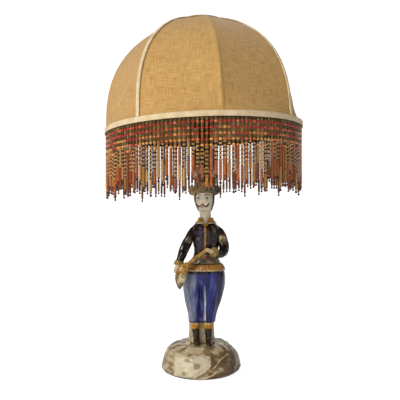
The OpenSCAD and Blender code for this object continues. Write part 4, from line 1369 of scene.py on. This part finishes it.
def collar():
    c = Clay("collar", 0.55)
    x, y, z = c.p.T
    fold = z.min() + 1.6 + 0.9 * np.abs(np.sin(2.5 * np.arctan2(x - 10.5, -y)))
    x, y, z = c.press(0.3 * c.waves(6, 3))
    c.ground((192, 142, 46))
    c.lay(0.6 * c.patches(6, 4, 0.2, 0.5), (168, 104, 32))
    c.lay(0.6 * c.patches(4, 5, 0.5, 0.4), OLIVE)
    c.lay(0.9 * soft(fold - z, 0.7) * soft(-y, 4), WHITE)
    c.lay(0.6 * soft(y - 4, 3) * soft(fold - z, 1), (120, 92, 40))
    c.fire(TRIM_GLAZE)


def cuff(node, hand, seed):
    c = Clay(node, 0.55)
    way = unit(middle(hand) - middle(node))
    side = unit(np.cross(way, (0, 1, 0)))
    out = c.p - middle(node)
    along = out @ way
    out -= along[:, None] * way
    turn = np.arctan2(out @ np.cross(side, way), out @ side)
    rim = soft(np.linalg.norm(out, axis=1) - 5, 1)
    frill = np.sin(11 * turn + 1.5 * c.waves(9, seed))
    c.press(rim * (0.8 * frill * soft(along, 3) + 0.3 * c.waves(4, seed)))
    c.ground((168, 128, 58))
    c.lay(0.7 * soft(-frill, 0.7), OLIVE)
    c.lay(0.7 * c.patches(5, seed + 1, 0.8, 0.3), (206, 176, 116))
    c.lay(0.6 * soft(along + 3.0, 1) * soft(-1.8 - along, 1), UMBER)
    c.fire(TRIM_GLAZE)


placket()
collar()
cuff("right_cuff", "right_hand", 90)
cuff("left_cuff", "left_hand", 95)

# %% [markdown]
# ## Hands and lute
# The hands are simple mitts with finger grooves, left cream. The lute has a pale
# front, a golden plate where the strings end, a dark tip below, and an ochre neck
# with dark lines for its strings. Its back bulges, as a lute's does.


# %% Hands and lute
def hand(node, sleeve, seed):
    c = Clay(node, 0.45)
    wrist, palm = middle(sleeve), c.p.mean(0)
    way = unit(palm - wrist)
    along = (c.p - wrist) @ way
    across = (c.p - palm) @ np.cross(way, (0, 1, 0))
    tip = soft(along - along.max() * 0.62, 2)
    finger = 2.6
    grooves = bell(np.mod(across + 50 * finger, finger) - finger / 2, 0.45) * tip
    c.press(-0.55 * grooves + 0.25 * c.waves(5, seed))
    c.ground((212, 196, 162))
    c.lay(0.5 * grooves, (128, 98, 66))
    c.lay(0.35 * c.patches(6, seed + 1, 0.2, 0.5), (186, 160, 118))
    c.fire(SKIN_GLAZE)


def lute_body():
    c = Clay("lute_body", 0.6)
    x, y, z = c.p.T
    foot, top = c.low[2], c.high[2]
    front = soft(y.mean() - y, 1.2)
    mid = np.interp(z, [foot, top], [c.low[0] + 9, c.high[0] - 3])
    share = (z - foot) / (top - foot)
    staves = np.cos((x - mid) * 1.15)
    x, y, z = c.press(0.2 * c.waves(7, 1) + 0.2 * staves * (1 - front)
                      - 0.35 * front * soft(4.2 - np.abs(x - mid), 2))
    aside = np.abs(x - mid)
    c.ground((150, 116, 62))
    c.lay(front * soft(9.2 - aside, 1), (222, 206, 168))
    c.lay(0.5 * front * c.patches(9, 2, 0.3, 0.5), (196, 174, 126))
    plate = front * soft(share - 0.56 + 0.05 * c.waves(8, 3), 0.06)
    c.lay(0.95 * plate, (188, 140, 48))
    c.lay(0.6 * plate * c.patches(4, 4, 0.3, 0.3), (122, 78, 28))
    hole = np.hypot(x - mid, z - foot - 27)
    c.lay(0.9 * front * soft(0.9 - np.abs(hole - 3.4), 0.5), (88, 60, 30))
    c.lay(0.92 * soft(0.24 - share + 0.04 * c.waves(7, 5), 0.05), (84, 64, 44))
    c.lay(0.6 * soft(aside - 8.6, 1) * soft(0.6 - share, 0.2), UMBER)
    c.fire(TRIM_GLAZE)


def lute_neck():
    c = Clay("lute_neck", 0.45)
    x = c.p[:, 0]
    start, end = c.p[x < x.min() + 2].mean(0), c.p[x > x.max() - 2].mean(0)
    way = unit(end - start)
    off = (c.p - start) @ np.cross(way, (0, 1, 0))
    lines = bell(np.abs(off) - 1.1, 0.35)
    front = soft(start[1] - c.p[:, 1], 1)
    fret = bell(np.mod((c.p - start) @ way, 5.5) - 2.7, 0.4)
    c.press(0.15 * c.waves(5, 6) - 0.25 * lines * front + 0.2 * fret * front)
    c.ground((192, 146, 48))
    c.lay(0.8 * front * lines, (84, 54, 24))
    c.lay(0.3 * fret, (222, 190, 110))
    c.lay(0.5 * c.patches(6, 7, 0.4, 0.4), (168, 104, 34))
    c.fire(TRIM_GLAZE)


hand("right_hand", "right_cuff", 101)
hand("left_hand", "left_cuff", 111)
lute_body()
lute_neck()

# %% [markdown]
# ## Head, hair and hat
# The head is a plain doll's head. Its face is painted in the general way of folk
# pottery: round eyes, arched brows, a curled moustache, a red button nose and a
# small mouth. The nose, brows and moustache stand up a little, as thick glaze
# does. The fur-trimmed hat has a raised tip on each side.


# %% Head
def head():
    c = Clay("head", 0.42, ease=6)
    tall, aim = c.high[2] - c.low[2], -3.4
    x, z = c.p[:, 0] - c.mid[0] - aim, c.p[:, 2] - c.low[2]
    front = soft(-c.p[:, 1] - 4, 3)
    at = np.column_stack([x, z])
    eye_z, nose_z, mouth_z = 0.805 * tall, 0.565 * tall, 0.50 * tall
    face = []
    for side in (-1, 1):
        eye = np.hypot(x - side * 8.4, (z - eye_z) * 0.9)
        brow = from_line(at, *[(side * (8.8 + 5.6 * math.sin(t)),
                                eye_z + 3.2 + 4.0 * math.cos(t))
                               for t in np.linspace(-1, 1, 9)])
        curl = from_line(at, *[(side * out, nose_z + up) for out, up in (
            (2.2, -1.6), (5, -3.4), (8.2, -3.2), (10.8, -0.6), (12.2, 2.4))])
        face.append((side, eye, brow, curl))
    nose = np.hypot(x, (z - nose_z) * 0.95)
    mouth = np.hypot(x * 0.7, z - mouth_z + 2.4)
    chin = np.hypot(x, (z - mouth_z + 9) * 1.2)
    lift = 2.3 * bell(nose, 2.4) + 0.4 * bell(mouth, 1.4) + 0.9 * bell(chin, 4)
    for side, eye, brow, curl in face:
        cheek = np.hypot(x - side * 8.5, z - nose_z - 3)
        lift += (0.35 * bell(brow, 1.0) + 0.5 * bell(curl, 1.3) + 0.35 * bell(eye, 2.4)
                 - 0.5 * bell(eye - 4, 1.4) + 0.6 * bell(cheek, 4))
    c.press(lift * front + 0.12 * c.waves(9, 1))
    c.ground((232, 222, 200))
    c.lay(0.25 * c.patches(12, 2, 0, 0.6), (200, 186, 158))
    # The lower head and neck are painted darker as painted shade under the chin, and a painted
    # shadow lies in the crease above the chin.
    c.lay(0.4 * soft(0.40 * tall - z + 2 * c.waves(9, 3), 4), (184, 168, 140))
    c.lay(0.4 * front * bell(z - mouth_z + 8, 2.0) * soft(9 - np.abs(x), 3), (150, 136, 110))
    for side, eye, brow, curl in face:
        cheek = np.hypot(x - side * 9, z - nose_z - 3)
        # glint is a painted highlight in each eye.
        glint = np.hypot(x - side * 8.4 + 0.6, z - eye_z - 0.8)
        thin = np.interp(np.abs(x), [2, 9, 12.5], [1.1, 2.0, 1.0])
        lip = soft(4.6 - np.abs(x), 1.5) * soft(thin + 0.6 - curl, 0.6)
        for share, colour in (
                (0.35 * soft(4.5 - cheek, 3), (244, 226, 200)),
                (0.9 * soft(3.7 - eye, 0.5), (232, 228, 214)),
                (0.6 * soft(0.5 - np.abs(eye - 3.6), 0.4), (112, 110, 100)),
                (0.9 * soft(2.2 - eye, 0.5), (96, 108, 98)),
                (soft(1.35 - eye, 0.4), (22, 24, 22)),
                (soft(0.4 - glint, 0.2), (240, 240, 236)),
                (0.85 * soft(0.95 - brow, 0.5), (86, 76, 60)),
                (0.95 * soft(thin - curl, 0.5), (44, 28, 20)),
                (0.5 * lip, (128, 52, 30))):
            c.lay(front * share, colour)
    # shine is a painted highlight on the nose.
    shine = np.hypot(x + 0.4, z - nose_z - 0.9)
    c.lay(0.95 * front * soft(2.8 - nose, 0.6), (160, 72, 42))
    c.lay(0.8 * front * soft(1.0 - shine, 0.6), (238, 196, 160))
    c.lay(0.9 * front * soft(1.3 - mouth, 0.5), (146, 44, 26))
    c.fire(SKIN_GLAZE)


# %% Hair and hat
def hair():
    c = Clay("hair", 0.5)
    x, y, z = c.p.T
    locks = np.sin(34 * np.arctan2(y, x - c.mid[0]) + 0.25 * z + 1.2 * c.waves(20, 1))
    x, y, z = c.press(0.35 * locks)
    # The left side is painted lighter as painted light, with painted shade between its locks.
    lit = soft(c.mid[0] - 4 - x, 4)
    c.ground((44, 36, 30))
    c.lay(0.5 * soft(locks - 0.3, 0.5), (78, 66, 50))
    c.lay(0.9 * lit, (142, 122, 84))
    c.lay(0.4 * lit * soft(-locks, 0.5), (104, 88, 56))
    c.fire(CLOTH_GLAZE)


def hat():
    c = Clay("hat", 0.7)
    x, y, z = c.p.T
    foot, top = c.low[2], c.high[2]
    off = x - c.mid[0]
    reach, turn = np.hypot(off, y), np.arctan2(y, off)
    aside, outward = np.abs(off), np.sign(off)
    brim = soft(reach - 23.5, 1.5) * soft(z - foot - 0.5, 1.5)
    side = np.clip((aside - 18) / 11, 0, 1) * brim
    # Each side is pinched to a tip, its lower edge is drawn down over the hair, and
    # the fur stands up round the brass
    drop = 6.5 * soft(aside - 19, 4) * soft((foot + top) / 2 - z, top - foot)
    tip = 2.0 * side * soft(z - foot - 4, 3)
    stand = 3.6 * soft(reach - 24.2, 1.4) * soft(z - drop - top + 4, 3)
    x, y, z = c.put(np.column_stack([x + outward * (tip - 0.3 * drop),
                                     y * (1 - 0.6 * side), z - drop + stand]))
    fur = c.waves(3.2, 1, (1, 1, 0.6))
    ruffle = np.sin(26 * turn + 3 * c.waves(15, 2))
    x, y, z = c.press(soft(reach - 23.4, 1) * (0.45 * fur + 0.35 * ruffle))
    c.ground((152, 122, 72))
    c.lay(0.6 * soft(fur - 0.1, 0.5), (188, 164, 110))
    c.lay(0.6 * soft(-fur - 0.3, 0.5), (96, 76, 40))
    c.lay(0.5 * c.patches(11, 3, 0.3, 0.4), (120, 104, 48))
    # The right tip is painted dark grey, as painted shade.
    c.lay(0.85 * soft(off - 17 + 3 * c.waves(8, 4), 4), (62, 56, 52))
    c.lay(0.7 * soft(z - top + 1.6, 1) * soft(24.5 - reach, 1), (196, 178, 132))
    c.fire(CLOTH_GLAZE)


head()
hair()
hat()

# %% [markdown]
# ## Metals, wire, porcelain and glass
# The brass column is two spun cups, mouth to mouth round the tube, turned with
# small rings. Its warm brass is painted dark, with darker patches at random, as
# painted reflection of dark surroundings and painted shade, and it has fine lines
# from spinning. The frame is brown dipped wire, its dark brown partly painted
# shade. The bulb is frosted.


# %% Finishes of the fittings
def metal(name, light, dark, rough, spun=(40, 40, 900)):
    m = Finish(name, Metallic=1.0)
    stain_and_reflection = m.speckle(m.places(), 70.0, 4.0)
    lines = m.speckle(m.places(spun), 1.0, 2.0)
    m.colour(m.ramp(stain_and_reflection, (0.36, dark), (0.55, light)))
    m.roughness(m.spread(stain_and_reflection, rough + 0.22, rough))
    m.bump(lines, 0.05 * MM, 0.35)
    return m.material


# Brass colours painted dark, as painted reflection of dark surroundings and painted shade.
PAINTED_DARK_BRASS = metal("old_brass", srgb(132, 90, 40), srgb(50, 32, 15), 0.2)
FINISHES = {
    "steel": metal("zinc_steel", srgb(176, 178, 180), srgb(112, 112, 112), 0.3),
    "brass": PAINTED_DARK_BRASS,
    "bulb_metal": metal("bulb_cap_metal", srgb(196, 190, 172), srgb(140, 132, 112), 0.25),
    "porcelain": grained(
        "glazed_porcelain", 300.0, 2.0, ((0.28, (196, 190, 176)), (0.4, (232, 228, 218))),
        (0.2, 0.3), Coat_Weight=0.6, Coat_Roughness=0.05),
    "bulb_glass": grained(
        "frosted_bulb", 90.0, 2.0, ((0.3, (226, 224, 216)), (0.7, (242, 240, 234))),
        (0.35, 0.5), Transmission_Weight=0.25, IOR=1.45, Subsurface_Weight=0.3,
        Subsurface_Scale=0.01),
    # The wire's dark brown is partly painted shade inside the shade.
    "frame_wire": grained(
        "dipped_wire", 160.0, 3.0, ((0.3, (58, 46, 34)), (0.5, (84, 68, 50))),
        (0.5, 0.35), (0.1, 0.3), Coat_Weight=0.2),
    "felt": grained(
        "green_baize", 700.0, 4.0, ((0.3, (34, 66, 44)), (0.6, (58, 98, 66))),
        (0.85, 0.98), (0.4, 0.8), blur=0.7, Sheen_Weight=0.5, Specular_IOR_Level=0.1),
}


# %% Brass cap and cup, spun on a lathe
BORE = 5.6 * MM
WALL = 1.2 * MM


def spun(node, outside):
    """A spun cup. Outside rows are radius and share of the height."""
    low, high = (corner[2] for corner in upright_box(node))
    rows = [(r * MM, low + share * (high - low)) for r, share in outside]
    inner = [(max(r - WALL, BORE), min(max(z, low + WALL), high - WALL)) for r, z in rows]
    ring = (rows + [(BORE, high), (BORE, high - WALL)] + inner[::-1]
            + [(BORE, low + WALL), (BORE, low)])
    cup = turned(node + "_spun", ring, 128)
    dress(cup, "lamp", PAINTED_DARK_BRASS, [node], sharp=32)


BEAD = [(21.0, 0.40), (21.9, 0.42), (22.4, 0.47), (22.5, 0.52), (22.2, 0.57),
        (21.4, 0.60), (21.6, 0.62), (21.9, 0.66), (21.6, 0.72), (20.6, 0.79),
        (18.6, 0.86), (16.2, 0.905), (15.0, 0.92), (15.0, 1.0)]
spun("brass_cap", [(18.6, 0.0), (19.6, 0.03), (20.6, 0.08), (21.0, 0.13), (20.6, 0.17),
                   (20.4, 0.2), (20.6, 0.3)] + BEAD)
spun("brass_cup", [(14.8, 0.0), (15.0, 0.015), (17.6, 0.05), (19.8, 0.095),
                   (21.2, 0.14), (21.5, 0.165), (21.1, 0.18), (21.8, 0.2),
                   (22.4, 0.225), (22.5, 0.25), (22.2, 0.275), (21.8, 0.29),
                   (21.9, 0.5), (21.9, 0.80), (22.3, 0.82), (22.4, 0.85), (22.1, 0.88),
                   (21.6, 0.9), (21.2, 0.93), (20.2, 0.965), (17.4, 0.99),
                   (16.0, 1.0)])

# %% [markdown]
# ## Ribs and what carries the shade
# Eight wire ribs run from the rim to the top ring, under the cloth. The tree below
# bends one round wire along each rib's line. The rings, the carrier, the fittings
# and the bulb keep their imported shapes, and get real finishes.


# %% Wire ribs
def wire_recipe():
    r = Recipe("bent_wire", Thickness=0.003, Sides=10)
    ring = r.node("CurvePrimitiveCircle", Resolution=r.inputs["Sides"],
                  Radius=r.maths("MULTIPLY", r.inputs["Thickness"], 0.5))
    wire = r.node("CurveToMesh", Curve=r.node("MeshToCurve", Mesh=r.inputs["Geometry"]),
                  Profile_Curve=ring, Fill_Caps=True)
    return r.finish(wire, FINISHES["frame_wire"])


STATIONS = 60
RIBS = 8
lines, joins = [], []
rib = along_rib(STATIONS, 0.0)
for b in range(RIBS):
    way = round_from_front(np.array([FIRST_RIB + b * BAY]))[0]
    start = len(lines)
    lines += list(rib[:, :1] * way + rib[:, 1:] * (0, 0, 1) + (0, 0, Z_RIM))
    joins += [(start + i, start + i + 1) for i in range(STATIONS - 1)]
ribs = grown("wire_ribs", wire_recipe(), moved(lines, LEAN), (), joins,
             settings={"Thickness": float(rib_wire)})
dress(ribs, "shade", None, ["shade_ribs"])


# %% Felt under the base
def felt():
    """A disc cut with scissors: its edge is a little uneven, and its rims are worn."""
    low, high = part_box("felt_pad")
    edge, sides = high.x, 160
    draw = np.random.default_rng(5)
    t = np.linspace(0, math.tau, sides, endpoint=False)
    uneven = 0.25 * MM * np.sin(7 * t + 1) + 0.15 * MM * draw.normal(size=sides)
    rows = []
    for r, z in ((0.5 * MM, low.z), (edge * 0.5, low.z), (edge - 0.6 * MM, low.z),
                 (edge, low.z + 0.5 * MM), (edge, high.z - 0.5 * MM),
                 (edge - 0.6 * MM, high.z), (edge * 0.5, high.z), (0.5 * MM, high.z)):
        reach = r + uneven * (r > edge * 0.9)
        rows.append(np.column_stack([reach * np.cos(t), reach * np.sin(t),
                                     np.full(sides, z)]))
    count = len(rows) * sides
    points = np.concatenate(rows + [[(0, 0, low.z), (0, 0, high.z)]])
    faces = net(len(rows), sides, around=True).tolist()
    faces += [[(i + 1) % sides, i, count] for i in range(sides)]
    last = count - sides
    faces += [[last + i, last + (i + 1) % sides, count + 1] for i in range(sides)]
    pad = add_object("felt_disc", points, faces)
    dress(pad, "lamp", FINISHES["felt"], ["felt_pad"], sharp=40)


felt()

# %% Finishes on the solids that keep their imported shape
# Edges that bend more than this many degrees stay sharp
TURNED_EDGE = 35
for name, solid in frame["nodes"].items():
    slot = solid.data.materials[0].name
    if slot in FINISHES and not solid.hide_render:
        solid.data.materials[0] = FINISHES[slot]
        solid.data.shade_smooth()
        solid.data.set_sharp_from_angle(angle=math.radians(TURNED_EDGE))
        print(name, "keeps its shape as", slot)
